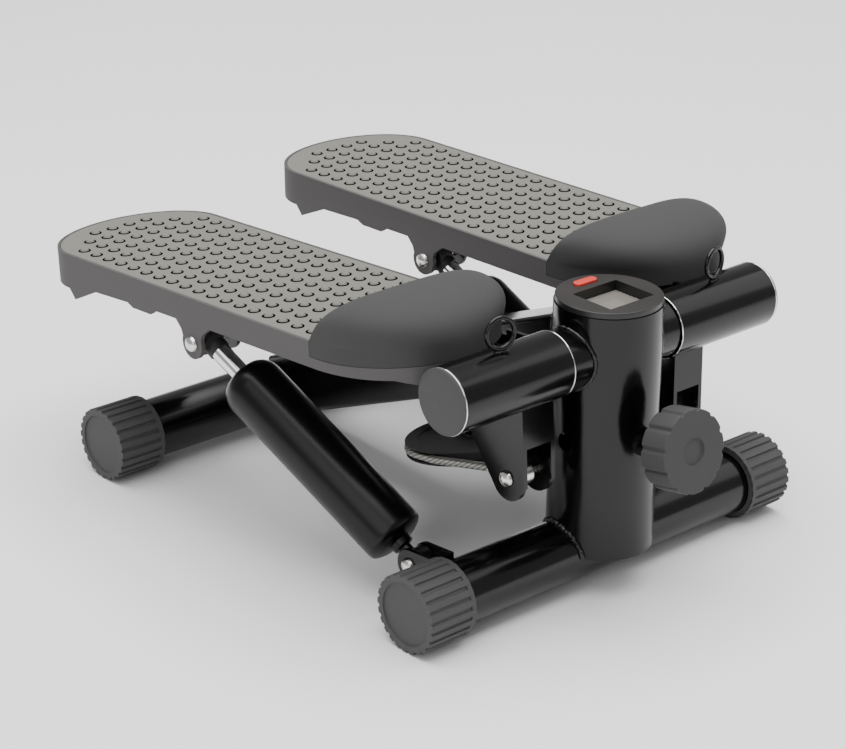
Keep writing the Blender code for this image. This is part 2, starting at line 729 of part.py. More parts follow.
def make_sleeve(side, parent):
    """Pedal sleeve on the axle with its domed end cap and the eye loop on top."""
    sleeve = pipe(SLEEVE_RADIUS, AXLE_RADIUS + GAP, *SLEEVE_X, ALONG_X, 32)
    part(f"{side}_sleeve", sleeve, BLACK_PAINT, parent, SIDES[side])
    seat = SLEEVE_X[1] + GAP
    dome = [(0, AXLE_HALF + GAP), (0.0172, AXLE_HALF + GAP), (0.0172, seat)]
    for i in range(4):
        turn = math.radians(30 * i)
        dome.append((0.0213 * math.cos(turn), seat + 0.001 + (SLEEVE_CAP_X - seat - 0.001) * math.sin(turn)))
    dome.insert(3, (0.0213, seat))
    part(f"{side}_sleeve_cap", revolve(dome, ROUND, ALONG_X), CAP_PLASTIC, parent, SIDES[side])
    height = SLEEVE_RADIUS + LOOP_RADIUS + LOOP_WIRE + GAP
    place = Matrix.Translation((LOOP_X, LOOP_Y, height)) @ Matrix.Rotation(LOOP_TURN, 4, "Z")
    ring = torus(LOOP_RADIUS, LOOP_WIRE, place @ Matrix.Rotation(math.pi / 2, 4, "X"))
    part(f"{side}_eye_loop", ring, BLACK_PAINT, parent, SIDES[side])


def make_bracket(side, parent):
    """Cable bracket: two gusset plates and a front web under the sleeve, with its bolt and nut."""
    outline = [(-0.0085, -0.030), (-0.0085, -0.0720)]
    outline += arc((0.0066, -0.0690), 0.0142, 190, 318, 8)
    outline += [(0.0383, -0.0462), (0.0605, -0.0183), (0.066, -0.008), (0.066, 0.0182), (0.0120, 0.0182)]
    outline += [(0.004, 0.0), (-0.0085, -0.015)]
    low, high = BRACKET_PLATES[0][0], BRACKET_PLATES[1][1]
    inner_low, inner_high = BRACKET_PLATES[0][1], BRACKET_PLATES[1][0]
    web = 0.003
    bracket = cut(
        prism(outline, low, high, ALONG_X),
        block((inner_low, -0.0085 + web, -0.1), (inner_high, 0.1, 0.05)),
        block((inner_low, -0.02, -0.1), (inner_high, 0.1, -0.046)),
        cylinder(SLEEVE_RADIUS + GAP, 0.03, 0.15, ALONG_X),
        cup_band(),
        cylinder(PIN_RADIUS + GAP, 0.03, 0.15, Matrix.Translation((0, *CABLE_PIN)) @ ALONG_X, SMALL),
    )
    part(f"{side}_cable_bracket", bracket, BLACK_PAINT, parent, SIDES[side])
    line = Matrix.Translation((0, *CABLE_PIN)) @ ALONG_X
    bolt = dome_bolt(low - 0.0075, high + GAP, line)
    part(f"{side}_cable_bolt", bolt, ZINC, parent, SIDES[side])
    part(f"{side}_cable_nut", hex_nut(low - GAP - 0.005, low - GAP, line), ZINC, parent, SIDES[side])


def dome_bolt(tail, seat, place, radius=PIN_RADIUS, head=0.0055, height=0.0038):
    """A bolt about local Z with a domed head above its seat."""
    profile = [(0, tail), (radius, tail), (radius, seat), (head, seat)]
    for i in range(1, 4):
        turn = math.radians(90 * i / 3)
        profile.append((head * math.cos(turn) if i < 3 else 0, seat + height * math.sin(turn)))
    return revolve(profile, SMALL, place)


def hex_nut(low, high, place, radius=0.0060):
    """A hexagonal nut about local Z."""
    outline = [
        (radius * math.cos(math.radians(60 * i)), radius * math.sin(math.radians(60 * i)))
        for i in range(6)
    ]
    return cut(prism(outline, low, high, place), cylinder(PIN_RADIUS + GAP, low - 0.01, high + 0.01, place, SMALL))


def make_cable_end(side, parent):
    """The fitting on the cable's end: an eye on the bolt and a crimped barrel."""
    to_pedal = pedal_frame(side).inverted()
    pin, end = (to_pedal @ p for p in cable_anchor(side))
    pin.x, end.x = abs(pin.x), abs(end.x)
    ahead = (end - pin).normalized()
    length = CABLE_END_LENGTH
    fitting = join(
        sweep([pin + ahead * 0.004, pin + ahead * (length - 0.011)], 0.0030, 8),
        sweep([pin + ahead * (length - 0.0125), pin + ahead * length], 0.0043, 8),
        cylinder(0.0075, CABLE_END_X - 0.0028, CABLE_END_X + 0.0028, Matrix.Translation((0, *CABLE_PIN)) @ ALONG_X, 16),
    )
    hole = cylinder(PIN_RADIUS + GAP, 0.03, 0.15, Matrix.Translation((0, *CABLE_PIN)) @ ALONG_X, SMALL)
    part(f"{side}_cable_end", cut(fitting, hole), ZINC, parent, SIDES[side])


def make_upper_mount(side, parent):
    """The damper's inner lug under the pan, and the pivot bolt and nut through both lugs."""
    line = Matrix.Translation((0, *UPPER_PIN)) @ ALONG_X
    outline = [(0.2035, 0.0182), (0.2042, 0.0)]
    outline += arc(UPPER_PIN, 0.0105, 158, 382, 12)
    outline += [(0.2268, 0.0), (0.2275, 0.0182)]
    lug = cut(prism(outline, *INNER_LUG_X, ALONG_X), cylinder(PIN_RADIUS + GAP, 0.1, 0.2, line, SMALL))
    part(f"{side}_inner_lug", twin(lug, side), BLACK_PAINT, parent, SIDES[side])
    face = PEDAL_X + PEDAL_HALF + GAP
    inner = INNER_LUG_X[0] - GAP
    upper_bolt = twin(dome_bolt(inner - 0.0075, face, line), side)
    part(f"{side}_upper_bolt", upper_bolt, ZINC, parent, SIDES[side])
    part(f"{side}_upper_nut", twin(hex_nut(inner - 0.005, inner, line), side), ZINC, parent, SIDES[side])


def make_pedal(side):
    """Everything that swings with one pedal."""
    carrier = axis(f"{side}_pedal_axis", pedal_frame(side))
    make_sleeve(side, carrier)
    make_pan(side, carrier)
    make_toe_cup(side, carrier)
    make_bracket(side, carrier)
    make_cable_end(side, carrier)
    make_upper_mount(side, carrier)


# Dampers --------------------------------------------------------------------------------------

def damper_ends(side):
    """World points of the damper's lower and upper eyes."""
    ends = [LOWER_EYE_X[side], UPPER_EYE_X]
    if SIDES[side] > 0:
        ends = [2 * PEDAL_X - x for x in ends]
    else:
        ends = [-x for x in ends]
    return Vector((ends[0], *LOWER_EYE)), pedal_frame(side) @ Vector((ends[1], *UPPER_PIN))


def make_damper(side):
    """Clevis on the front tube, the damper's body and rod, and the lower bolt and nut."""
    sign = SIDES[side]
    lower, upper = damper_ends(side)
    lower.x, upper.x = LOWER_EYE_X[side], UPPER_EYE_X
    ahead = (upper - lower).normalized()
    across = (Vector((1, 0, 0)) - ahead * ahead.x).normalized()
    turn = Matrix((across, ahead.cross(across), ahead)).transposed().to_4x4()
    carrier = axis(f"{side}_damper_axis", Matrix.Translation((0, lower.y, lower.z)))
    length = (upper - lower).length
    start = Matrix.Translation((lower.x, 0, 0)) @ turn
    top = length - DAMPER_TOP
    bore = ROD_RADIUS + GAP
    profile = [
        (0, 0.004),
        (0.0038, 0.004),
        (0.0038, 0.0132),
        (0.0072, 0.0142),
        (0.0078, 0.0185),
        (0.0130, 0.0190),
        (0.0175, 0.0205),
        (0.0200, 0.0220),
        (DAMPER_RADIUS, 0.0245),
        (DAMPER_RADIUS, top - 0.012),
        (0.0195, top - 0.007),
        (0.0150, top - 0.002),
        (0.0100, top),
        (bore, top),
        (bore, BORE_FOOT),
        (0, BORE_FOOT),
    ]
    half = EYE_WIDTH / 2
    lower_eye = Matrix.Translation((lower.x, 0, 0)) @ ALONG_X
    body = cut(
        join(revolve(profile, ROUND, start), cylinder(0.0095, -half, half, lower_eye, 16)),
        cylinder(PIN_RADIUS + GAP, -0.02, 0.02, lower_eye, SMALL),
    )
    part(f"{side}_damper_body", twin(body, side), BLACK_PAINT, carrier, sign)
    rod = cylinder(ROD_RADIUS, ROD_FOOT, length - 0.0117, start, 16)
    part(f"{side}_damper_rod", twin(rod, side), CHROME, carrier, sign)
    offset = upper - lower
    upper_eye = Matrix.Translation((upper.x, offset.y, offset.z)) @ ALONG_X
    neck = cylinder(0.0075, length - 0.0114, length - 0.005, start, 16)
    rod_end = cut(
        join(neck, cylinder(0.0095, -half, half, upper_eye, 16)),
        cylinder(PIN_RADIUS + UPPER_EYE_PLAY, -0.02, 0.02, upper_eye, SMALL),
    )
    part(f"{side}_rod_end", twin(rod_end, side), BLACK_PAINT, carrier, sign)
    make_clevis(side)


def make_clevis(side):
    """Clevis welded to the back of the front tube, with its bolt and nut."""
    y, z = LOWER_EYE
    tube_back = FRONT_TUBE_Y + TUBE_RADIUS
    outline = [(tube_back - 0.004, z - 0.019), (y, z - 0.011)]
    outline += arc((y, z), 0.011, -80, 80, 8)
    outline += [(y, z + 0.011), (tube_back - 0.004, z + 0.013)]
    line = Matrix.Translation((0, y, z)) @ ALONG_X
    low, slot_low, slot_high, high = (LOWER_EYE_X[side] + x for x in CLEVIS_PLATES)
    clevis = cut(
        prism(outline, low, high, ALONG_X),
        cylinder(TUBE_RADIUS + GAP, 0.09, 0.14, x_axis_at(FRONT_TUBE_Y, TUBE_Z)),
        block((slot_low, tube_back + 0.004, 0), (slot_high, y + 0.05, 0.1)),
        cylinder(PIN_RADIUS + GAP, 0.09, 0.14, line, SMALL),
    )
    part(f"{side}_clevis", twin(clevis, side), BLACK_PAINT, side=SIDES[side])
    part(f"{side}_lower_bolt", twin(dome_bolt(low - 0.0075, high + GAP, line), side), ZINC, side=SIDES[side])
    part(f"{side}_lower_nut", twin(hex_nut(low - GAP - 0.005, low - GAP, line), side), ZINC, side=SIDES[side])


def main():
    """Clears the scene and models the stepper."""
    for old in list(bpy.data.objects):
        bpy.data.objects.remove(old, do_unlink=True)
    make_tubes()
    make_post()
    make_axle()
    make_beam()
    make_display()
    make_knob()
    make_pulley()
    make_cable()
    for side in SIDES:
        make_pedal(side)
        make_damper(side)


main()
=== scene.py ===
"""Finished look of a mini stepper, built piece by piece over its CAD frame.

Each operator makes one group of pieces in metres, in the frame's own axes: +Z up, front towards -Y.
"""

import json
import math

import bmesh
import bpy
from mathutils import Matrix, Vector

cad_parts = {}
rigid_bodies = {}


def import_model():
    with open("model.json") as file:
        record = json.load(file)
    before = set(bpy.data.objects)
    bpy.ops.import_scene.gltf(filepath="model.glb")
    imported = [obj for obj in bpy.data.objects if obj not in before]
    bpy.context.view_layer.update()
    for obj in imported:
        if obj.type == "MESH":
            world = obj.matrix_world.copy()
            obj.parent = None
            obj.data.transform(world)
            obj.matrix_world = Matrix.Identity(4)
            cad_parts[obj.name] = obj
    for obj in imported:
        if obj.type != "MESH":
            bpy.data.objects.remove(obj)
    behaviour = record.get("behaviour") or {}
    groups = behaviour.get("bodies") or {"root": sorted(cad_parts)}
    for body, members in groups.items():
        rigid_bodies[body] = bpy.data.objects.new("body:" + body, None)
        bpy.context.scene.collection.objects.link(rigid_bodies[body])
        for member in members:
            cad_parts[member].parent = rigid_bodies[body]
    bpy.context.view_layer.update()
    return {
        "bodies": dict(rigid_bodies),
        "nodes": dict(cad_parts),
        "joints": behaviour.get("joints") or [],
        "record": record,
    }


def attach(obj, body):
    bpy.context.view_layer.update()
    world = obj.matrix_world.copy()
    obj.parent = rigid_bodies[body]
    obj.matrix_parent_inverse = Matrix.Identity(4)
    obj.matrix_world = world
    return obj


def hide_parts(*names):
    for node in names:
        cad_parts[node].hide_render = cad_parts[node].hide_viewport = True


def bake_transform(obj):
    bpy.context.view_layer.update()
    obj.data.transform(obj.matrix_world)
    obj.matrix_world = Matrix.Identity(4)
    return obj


bl_info = {
    "name": "Mini Stepper Finish",
    "version": (1, 0, 0),
    "blender": (4, 5, 0),
    "location": "3D View > Sidebar > Stepper",
    "description": "Builds the finished pieces of a mini stepper over its CAD frame",
    "category": "Object",
}

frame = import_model()

GAP = 0.0003
ROUND = 96
SMALL = 40
SIDES = {"right": -1.0, "left": 1.0}

# Frame tubes
TUBE_RADIUS = 0.02103
TUBE_WALL = 0.0015
TUBE_Z = 0.02598
TUBE_HALF = 0.1592
POST_Y = -0.16175
FRONT_TUBE_Y = POST_Y + 0.00474
REAR_TUBE_Y = POST_Y + 0.3283

# End caps
CAP_RIBS = 24
CAP_RIB_HALF = math.radians(4.1)
CAP_RADIUS = TUBE_Z / math.cos(CAP_RIB_HALF)
CAP_GROOVE_RADIUS = 0.0246
CAP_INNER_X = 0.1269
CAP_OUTER_X = 0.1634
CAP_FACE_RADIUS = 0.0208

# Post and main beam
POST_RADIUS = 0.035
POST_WALL = 0.0025
POST_BOTTOM = 0.028
POST_TOP = 0.1936
POST_HOLE_Z = 0.1058
POST_HOLE_RADIUS = 0.006
BEAM_SLOPE = math.radians(22.93)
BEAM_WIDTH = 0.040
BEAM_DEPTH = 0.0448
BEAM_WALL = 0.002
BEAM_TOP_POINT = (POST_Y + 0.0703, 0.1627)
BEAM_START = -0.062
BEAM_END = 0.273

# Axle and sleeves
AXLE_Y = POST_Y + 0.00094
AXLE_Z = 0.16263
AXLE_RADIUS = 0.0175
AXLE_HALF = 0.132
COLLAR_RADIUS = 0.020
COLLAR_OUTER_X = 0.0476
SLEEVE_RADIUS = 0.02155
SLEEVE_X = (0.0481, 0.1372)
SLEEVE_CAP_X = 0.1420

# Display and button
HOUSING_RADIUS = 0.0342
HOUSING_TOP = 0.1977
WINDOW_CENTRE = (0.00075, POST_Y - 0.00275)
WINDOW_SIZE = (0.0385, 0.0335)
WINDOW_FLOOR = 0.1890
LENS_TOP = 0.1912
BUTTON_CENTRE = (0.0020, POST_Y + 0.0235)
BUTTON_SIZE = (0.0185, 0.0068)
BUTTON_TOP = 0.1992
BUTTON_BOTTOM = 0.1937
BUTTON_HOLE_FLOOR = 0.1917

# Tension knob and screw
KNOB_TILT = math.radians(10.9)
KNOB_FACE = (0.0, POST_Y - 0.0780, 0.1164)
KNOB_RADIUS = 0.0269
KNOB_DEPTH = 0.020
KNOB_LOBES = 12
SCREW_RADIUS = 0.005
SCREW_START = 0.010
SCREW_LENGTH = 0.132
BOSS_RADIUS = 0.009
BOSS_FACE = 0.0245

# Pulley, yoke and cable
PULLEY_TILT = math.radians(13.0)
PULLEY_CENTRE = (0.0, POST_Y + 0.1113, 0.0603)
PULLEY_RADIUS = 0.0534
PULLEY_HALF = 0.00475
GROOVE_RADIUS = 0.0481
PULLEY_PIN_RADIUS = 0.004
YOKE_HALF_WIDTH = 0.013
YOKE_PLATE = 0.003
YOKE_FRONT = -0.062
YOKE_TOP = 0.027
CABLE_RADIUS = 0.00275
CABLE_WRAP_RADIUS = 0.0515

# Pedals, in each pedal's own frame: X out from the middle, Y along the tread, Z up from the axle
REST_ANGLE = {"right": math.radians(-4.186), "left": math.radians(-1.708)}
PEDAL_X = 0.10085
PEDAL_HALF = 0.0641
HEEL_Y = 0.405
HEEL_DEPTH = 0.0476
TOE_Y = 0.0165
TOE_DEPTH = 0.0720
TOE_POWER = 2.1
TREAD_Z = 0.02348
PAN_PLATE = (0.0185, 0.0215)
PAN_WALL = 0.003
PAN_RIM = 0.002
STEP_Y = 0.0923
REBATE = 0.0027
UPPER_PIN = (0.2155, -0.008)
PIN_RADIUS = 0.003
INNER_LUG_X = (0.1325, 0.1355)

# Toe cup
CUP_FOOT_Y = 0.092
CUP_WALL = 0.0022
CUP_CREST_Y = 0.056
CUP_CREST_HEIGHT = 0.0285
CUP_ARCH_POWER = 3.6
CUP_RIM_Y = 0.078
CUP_SKIRT_Z = (0.0135, 0.0155)
CUP_SKIRT_Y = (0.072, 0.0165)

# Cable bracket and its bolt
BRACKET_PLATES = ((0.055, 0.058), (0.0785, 0.0815))
CABLE_PIN = (0.0071, -0.0685)
CABLE_END_X = 0.068
CABLE_END_LENGTH = 0.0345

# Eye loops
LOOP_X = 0.094
LOOP_Y = -0.0045
LOOP_RADIUS = 0.0097
LOOP_WIRE = 0.00155
LOOP_TURN = math.radians(12.0)

# Dampers
LOWER_EYE_X = {"right": 0.1165, "left": 0.1117}
LOWER_EYE = (POST_Y + 0.0445, 0.031)
UPPER_EYE_X = 0.1515
EYE_WIDTH = 0.0112
DAMPER_RADIUS = 0.02075
DAMPER_TOP = 0.033
ROD_RADIUS = 0.0065
ROD_FOOT = 0.056
BORE_FOOT = 0.030
UPPER_EYE_PLAY = 0.0016
CLEVIS_PLATES = (-0.009, -0.006, 0.006, 0.009)

# Local Z runs along the world X axis, local X along Y and local Y along Z
ALONG_X = Matrix(((0, 0, 1, 0), (1, 0, 0, 0), (0, 1, 0, 0), (0, 0, 0, 1)))


def revolve(profile, steps, place=Matrix()):
    """Turns a closed loop of (radius, height) points about local Z."""
    mesh = bmesh.new()
    rings = []
    for radius, height in profile:
        count = steps if radius > 1e-7 else 1
        turns = [2 * math.pi * i / steps for i in range(count)]
        rings.append([
            mesh.verts.new(place @ Vector((radius * math.cos(a), radius * math.sin(a), height)))
            for a in turns
        ])
    for ring, following in zip(rings, rings[1:] + rings[:1]):
        if len(ring) == 1 and len(following) == 1:
            continue
        for i in range(steps):
            j = (i + 1) % steps
            corners = (
                ring[i % len(ring)],
                ring[j % len(ring)],
                following[j % len(following)],
                following[i % len(following)],
            )
            mesh.faces.new(list(dict.fromkeys(corners)))
    return mesh


def cylinder(radius, low, high, place=Matrix(), steps=ROUND):
    """A plain cylinder about local Z."""
    return revolve([(0, low), (radius, low), (radius, high), (0, high)], steps, place)


def pipe(radius, bore, low, high, place=Matrix(), steps=ROUND):
    """A pipe about local Z."""
    return revolve([(radius, low), (radius, high), (bore, high), (bore, low)], steps, place)


def prism(outline, low, high, place=Matrix()):
    """Pushes a flat outline along local Z."""
    mesh = bmesh.new()
    bottom = [mesh.verts.new(place @ Vector((a, b, low))) for a, b in outline]
    top = [mesh.verts.new(place @ Vector((a, b, high))) for a, b in outline]
    mesh.faces.new(bottom[::-1])
    mesh.faces.new(top)
    for i in range(len(outline)):
        j = (i + 1) % len(outline)
        mesh.faces.new((bottom[i], bottom[j], top[j], top[i]))
    return mesh


def block(low, high):
    """An axis-aligned block between two corners."""
    outline = [(low[0], low[1]), (high[0], low[1]), (high[0], high[1]), (low[0], high[1])]
    return prism(outline, low[2], high[2])


def sweep(points, radius, sides):
    """A round bar along a line of points, with flat ends."""
    mesh = bmesh.new()
    points = [Vector(p) for p in points]
    across = Vector((0, 0, 1))
    rings = []
    for i, point in enumerate(points):
        ahead = (points[min(i + 1, len(points) - 1)] - points[max(i - 1, 0)]).normalized()
        across = (across - ahead * across.dot(ahead)).normalized()
        other = ahead.cross(across)
        rings.append([
            mesh.verts.new(point + radius * (across * math.cos(a) + other * math.sin(a)))
            for a in (2 * math.pi * k / sides for k in range(sides))
        ])
    for ring, following in zip(rings, rings[1:]):
        for i in range(sides):
            j = (i + 1) % sides
            mesh.faces.new((ring[i], ring[j], following[j], following[i]))
    mesh.faces.new(rings[0][::-1])
    mesh.faces.new(rings[-1])
    return mesh


def torus(radius, wire, place, steps=18, sides=6):
    """A closed ring about local Z."""
    profile = [
        (radius + wire * math.cos(2 * math.pi * k / sides), wire * math.sin(2 * math.pi * k / sides))
        for k in range(sides)
    ]
    return revolve(profile, steps, place)


def arc(centre, radius, start, stop, steps):
    """Points on an arc, with angles in degrees."""
    turns = [math.radians(start + (stop - start) * i / steps) for i in range(steps + 1)]
    return [(centre[0] + radius * math.cos(a), centre[1] + radius * math.sin(a)) for a in turns]


def as_object(mesh, name="scratch"):
    """Links a bmesh to the scene as an object."""
    bmesh.ops.recalc_face_normals(mesh, faces=mesh.faces)
    data = bpy.data.meshes.new(name)
    mesh.to_mesh(data)
    mesh.free()
    made = bpy.data.objects.new(name, data)
    bpy.context.collection.objects.link(made)
    return made


def evaluated(made):
    """The mesh of an object with its modifiers applied; the object is removed."""
    bpy.context.view_layer.update()
    data = made.evaluated_get(bpy.context.evaluated_depsgraph_get()).to_mesh()
    mesh = bmesh.new()
    mesh.from_mesh(data)
    bpy.data.objects.remove(made, do_unlink=True)
    return mesh


def combine(mesh, other, operation):
    """One exact boolean between two closed meshes."""
    first = as_object(mesh)
    second = as_object(other)
    modifier = first.modifiers.new("combine", "BOOLEAN")
    modifier.solver = "EXACT"
    modifier.operation = operation
    modifier.object = second
    result = evaluated(first)
    bpy.data.objects.remove(second, do_unlink=True)
    bmesh.ops.remove_doubles(result, verts=result.verts, dist=1e-6)
    return result


def cut(mesh, *others):
    """Takes each of the other meshes away."""
    for other in others:
        mesh = combine(mesh, other, "DIFFERENCE")
    return mesh


def join(mesh, *others):
    """Adds each of the other meshes."""
    for other in others:
        mesh = combine(mesh, other, "UNION")
    return mesh


def x_axis_at(y, z):
    """Places local Z on a line along the world X axis."""
    return Matrix.Translation((0, y, z)) @ ALONG_X


def tilted(point, angle):
    """A frame at a point, tipped forward about X by an angle."""
    return Matrix.Translation(point) @ Matrix.Rotation(-angle, 4, "X")


def knob_frame():
    """Local Z runs from the knob's face back through the post."""
    return Matrix.Translation(KNOB_FACE) @ Matrix.Rotation(-math.pi / 2 - KNOB_TILT, 4, "X")


def end_cap(y):
    """One end cap: flat-topped ribs outside, a blind bore for the tube and a sunk face."""
    outline = []
    for i in range(CAP_RIBS):
        middle = -math.pi / 2 + 2 * math.pi * i / CAP_RIBS
        for radius, turn in (
            (CAP_RADIUS, -CAP_RIB_HALF),
            (CAP_RADIUS, CAP_RIB_HALF),
            (CAP_GROOVE_RADIUS, math.radians(5.4)),
            (CAP_GROOVE_RADIUS, math.radians(9.6)),
        ):
            outline.append((radius * math.cos(middle + turn), radius * math.sin(middle + turn)))
    place = x_axis_at(y, TUBE_Z)
    return cut(
        prism(outline, CAP_INNER_X, CAP_OUTER_X, place),
        cylinder(TUBE_RADIUS + GAP, CAP_INNER_X - 0.01, TUBE_HALF + GAP, place),
        cylinder(CAP_FACE_RADIUS, CAP_OUTER_X - 0.0012, CAP_OUTER_X + 0.01, place),
    )


def stadium(centre, size, steps=6):
    """A long rounded outline."""
    radius = size[1] / 2
    reach = size[0] / 2 - radius
    right = arc((centre[0] + reach, centre[1]), radius, -90, 90, steps)
    return right + arc((centre[0] - reach, centre[1]), radius, 90, 270, steps)


def pedal_frame(side):
    """A pedal's own frame on the axle, at its rest angle."""
    return Matrix.Translation((0, AXLE_Y, AXLE_Z)) @ Matrix.Rotation(REST_ANGLE[side], 4, "X")


def twin(mesh, side):
    """The two pedals are the same hand, so the left one's off-centre pieces swap about its middle."""
    if SIDES[side] > 0:
        bmesh.ops.scale(mesh, vec=(-1, 1, 1), verts=mesh.verts)
        bmesh.ops.translate(mesh, vec=(2 * PEDAL_X, 0, 0), verts=mesh.verts)
        bmesh.ops.reverse_faces(mesh, faces=mesh.faces)
    return mesh


def cable_anchor(side):
    """World points of the cable bolt and of the free end of the fitting on it."""
    pin = pedal_frame(side) @ Vector((SIDES[side] * CABLE_END_X, *CABLE_PIN))
    tangent = tilted(PULLEY_CENTRE, PULLEY_TILT) @ Vector((SIDES[side] * CABLE_WRAP_RADIUS, 0, 0))
    return pin, pin + (tangent - pin).normalized() * CABLE_END_LENGTH


def cable_run(side):
    """Points from a cable fitting to where the cable meets the pulley, and that meeting angle."""
    frame = tilted(PULLEY_CENTRE, PULLEY_TILT)
    pin, end = cable_anchor(side)
    local = frame.inverted() @ end
    reach = math.hypot(local.x, local.y)
    turn = math.atan2(local.y, abs(local.x)) + math.acos(CABLE_WRAP_RADIUS / reach)
    touch = Vector((math.cos(turn), math.sin(turn), 0)) * CABLE_WRAP_RADIUS
    lead = touch + Vector((math.sin(turn), -math.cos(turn), 0)) * 0.018
    start = end + (end - pin).normalized() * GAP
    mirrored = Matrix.Diagonal((SIDES[side], 1, 1, 1))
    return [start, frame @ (mirrored @ lead)], turn


def pedal_outline(inset, toe_inset=None, steps=64):
    """Plan outline of a pedal, moved in by an inset, with a larger one ahead of the step."""
    toe_inset = inset if toe_inset is None else toe_inset
    points = []
    half = PEDAL_HALF - toe_inset
    depth = TOE_DEPTH - toe_inset
    centre = TOE_Y + TOE_DEPTH
    for i in range(steps + 1):
        turn = math.pi * i / steps
        along = abs(math.cos(turn)) ** (2 / TOE_POWER) * (1 if turn < math.pi / 2 else -1)
        points.append((PEDAL_X - half * along, centre - depth * math.sin(turn) ** (2 / TOE_POWER)))
    half_heel = PEDAL_HALF - inset
    if toe_inset > inset:
        step = STEP_Y + toe_inset - REBATE
        points += [(PEDAL_X + half, step), (PEDAL_X + half_heel, step)]
    centre = HEEL_Y - HEEL_DEPTH
    for i in range(steps + 1):
        turn = math.pi * i / steps
        points.append((
            PEDAL_X + half_heel * math.cos(turn), centre + (HEEL_DEPTH - inset) * math.sin(turn)
        ))
    if toe_inset > inset:
        points += [(PEDAL_X - half_heel, step), (PEDAL_X - half, step)]
    return points


def underside(lug):
    """Side outline of what lies under the skirt's bottom edge, with the lug left standing."""
    edge = [(-0.05, 0.0185), (0.0118, 0.0185), (0.0118, -0.0038), (0.020, 0.001), (0.035, 0.0065)]
    if lug:
        edge += [(0.196, 0.0062), (0.2042, 0.0)]
        edge += arc(UPPER_PIN, 0.0105, 158, 382, 12)
        edge += [(0.2268, 0.0), (0.232, 0.0057)]
    edge += [(0.255, 0.0055), (0.261, 0.0018), (0.281, 0.0018), (0.287, 0.0044), (0.325, 0.003)]
    edge += [(0.351, -0.008), (0.357, -0.001), (0.45, -0.0005)]
    return edge + [(0.45, -0.05), (-0.05, -0.05)]


def skirt_line():
    """Side outline of the band of the pan's wall that the toe cup wraps, and all above it."""
    low, high = CUP_SKIRT_Z
    rear, front = CUP_SKIRT_Y
    edge = [(-0.05, high - GAP), (front, high - GAP), (rear, low - GAP), (STEP_Y, low - GAP)]
    return edge + [(STEP_Y, 0.05), (-0.05, 0.05)]


def dome_bolt(tail, seat, place, radius=PIN_RADIUS, head=0.0055, height=0.0038):
    """A bolt about local Z with a domed head above its seat."""
    profile = [(0, tail), (radius, tail), (radius, seat), (head, seat)]
    for i in range(1, 4):
        turn = math.radians(90 * i / 3)
        profile.append((head * math.cos(turn) if i < 3 else 0, seat + height * math.sin(turn)))
    return revolve(profile, SMALL, place)


def hex_nut(low, high, place, radius=0.0060):
    """A hexagonal nut about local Z."""
    outline = [
        (radius * math.cos(math.radians(60 * i)), radius * math.sin(math.radians(60 * i)))
        for i in range(6)
    ]
    hole = cylinder(PIN_RADIUS + GAP, low - 0.01, high + 0.01, place, SMALL)
    return cut(prism(outline, low, high, place), hole)


def damper_ends(side):
    """World points of the damper's lower and upper eyes."""
    ends = [LOWER_EYE_X[side], UPPER_EYE_X]
    if SIDES[side] > 0:
        ends = [2 * PEDAL_X - x for x in ends]
    else:
        ends = [-x for x in ends]
    return Vector((ends[0], *LOWER_EYE)), pedal_frame(side) @ Vector((ends[1], *UPPER_PIN))


# Finishes -------------------------------------------------------------------------------------

def surface(name, colour, roughness, metallic=0.0, mottle=0.12, patch=35.0,
            grain=900.0, relief=0.15, depth=0.0001, shine=0.5):
    """A procedural finish: mottled colour and roughness, with a fine grain in relief."""
    made = bpy.data.materials.new(name)
    made.use_nodes = True
    nodes, links = made.node_tree.nodes, made.node_tree.links
    shader = nodes["Principled BSDF"]
    shader.inputs["Metallic"].default_value = metallic
    shader.inputs["Specular IOR Level"].default_value = shine
    place = nodes.new("ShaderNodeTexCoord")
    broad = nodes.new("ShaderNodeTexNoise")
    broad.inputs["Scale"].default_value = patch
    broad.inputs["Detail"].default_value = 6.0
    links.new(place.outputs["Object"], broad.inputs["Vector"])
    tone = nodes.new("ShaderNodeValToRGB")
    tone.color_ramp.elements[0].position = 0.3
    tone.color_ramp.elements[1].position = 0.7
    tone.color_ramp.elements[0].color = (*[c * (1 - mottle) for c in colour], 1.0)
    tone.color_ramp.elements[1].color = (*[min(c * (1 + mottle), 1.0) for c in colour], 1.0)
    links.new(broad.outputs["Fac"], tone.inputs["Fac"])
    links.new(tone.outputs["Color"], shader.inputs["Base Color"])
    gloss = nodes.new("ShaderNodeMapRange")
    gloss.inputs["To Min"].default_value = roughness * 0.85
    gloss.inputs["To Max"].default_value = min(roughness * 1.15, 1.0)
    links.new(broad.outputs["Fac"], gloss.inputs["Value"])
    links.new(gloss.outputs["Result"], shader.inputs["Roughness"])
    fine = nodes.new("ShaderNodeTexNoise")
    fine.inputs["Scale"].default_value = grain
    fine.inputs["Detail"].default_value = 3.0
    links.new(place.outputs["Object"], fine.inputs["Vector"])
    bump = nodes.new("ShaderNodeBump")
    bump.inputs["Strength"].default_value = relief
    bump.inputs["Distance"].default_value = depth
    links.new(fine.outputs["Fac"], bump.inputs["Height"])
    links.new(bump.outputs["Normal"], shader.inputs["Normal"])
    return made


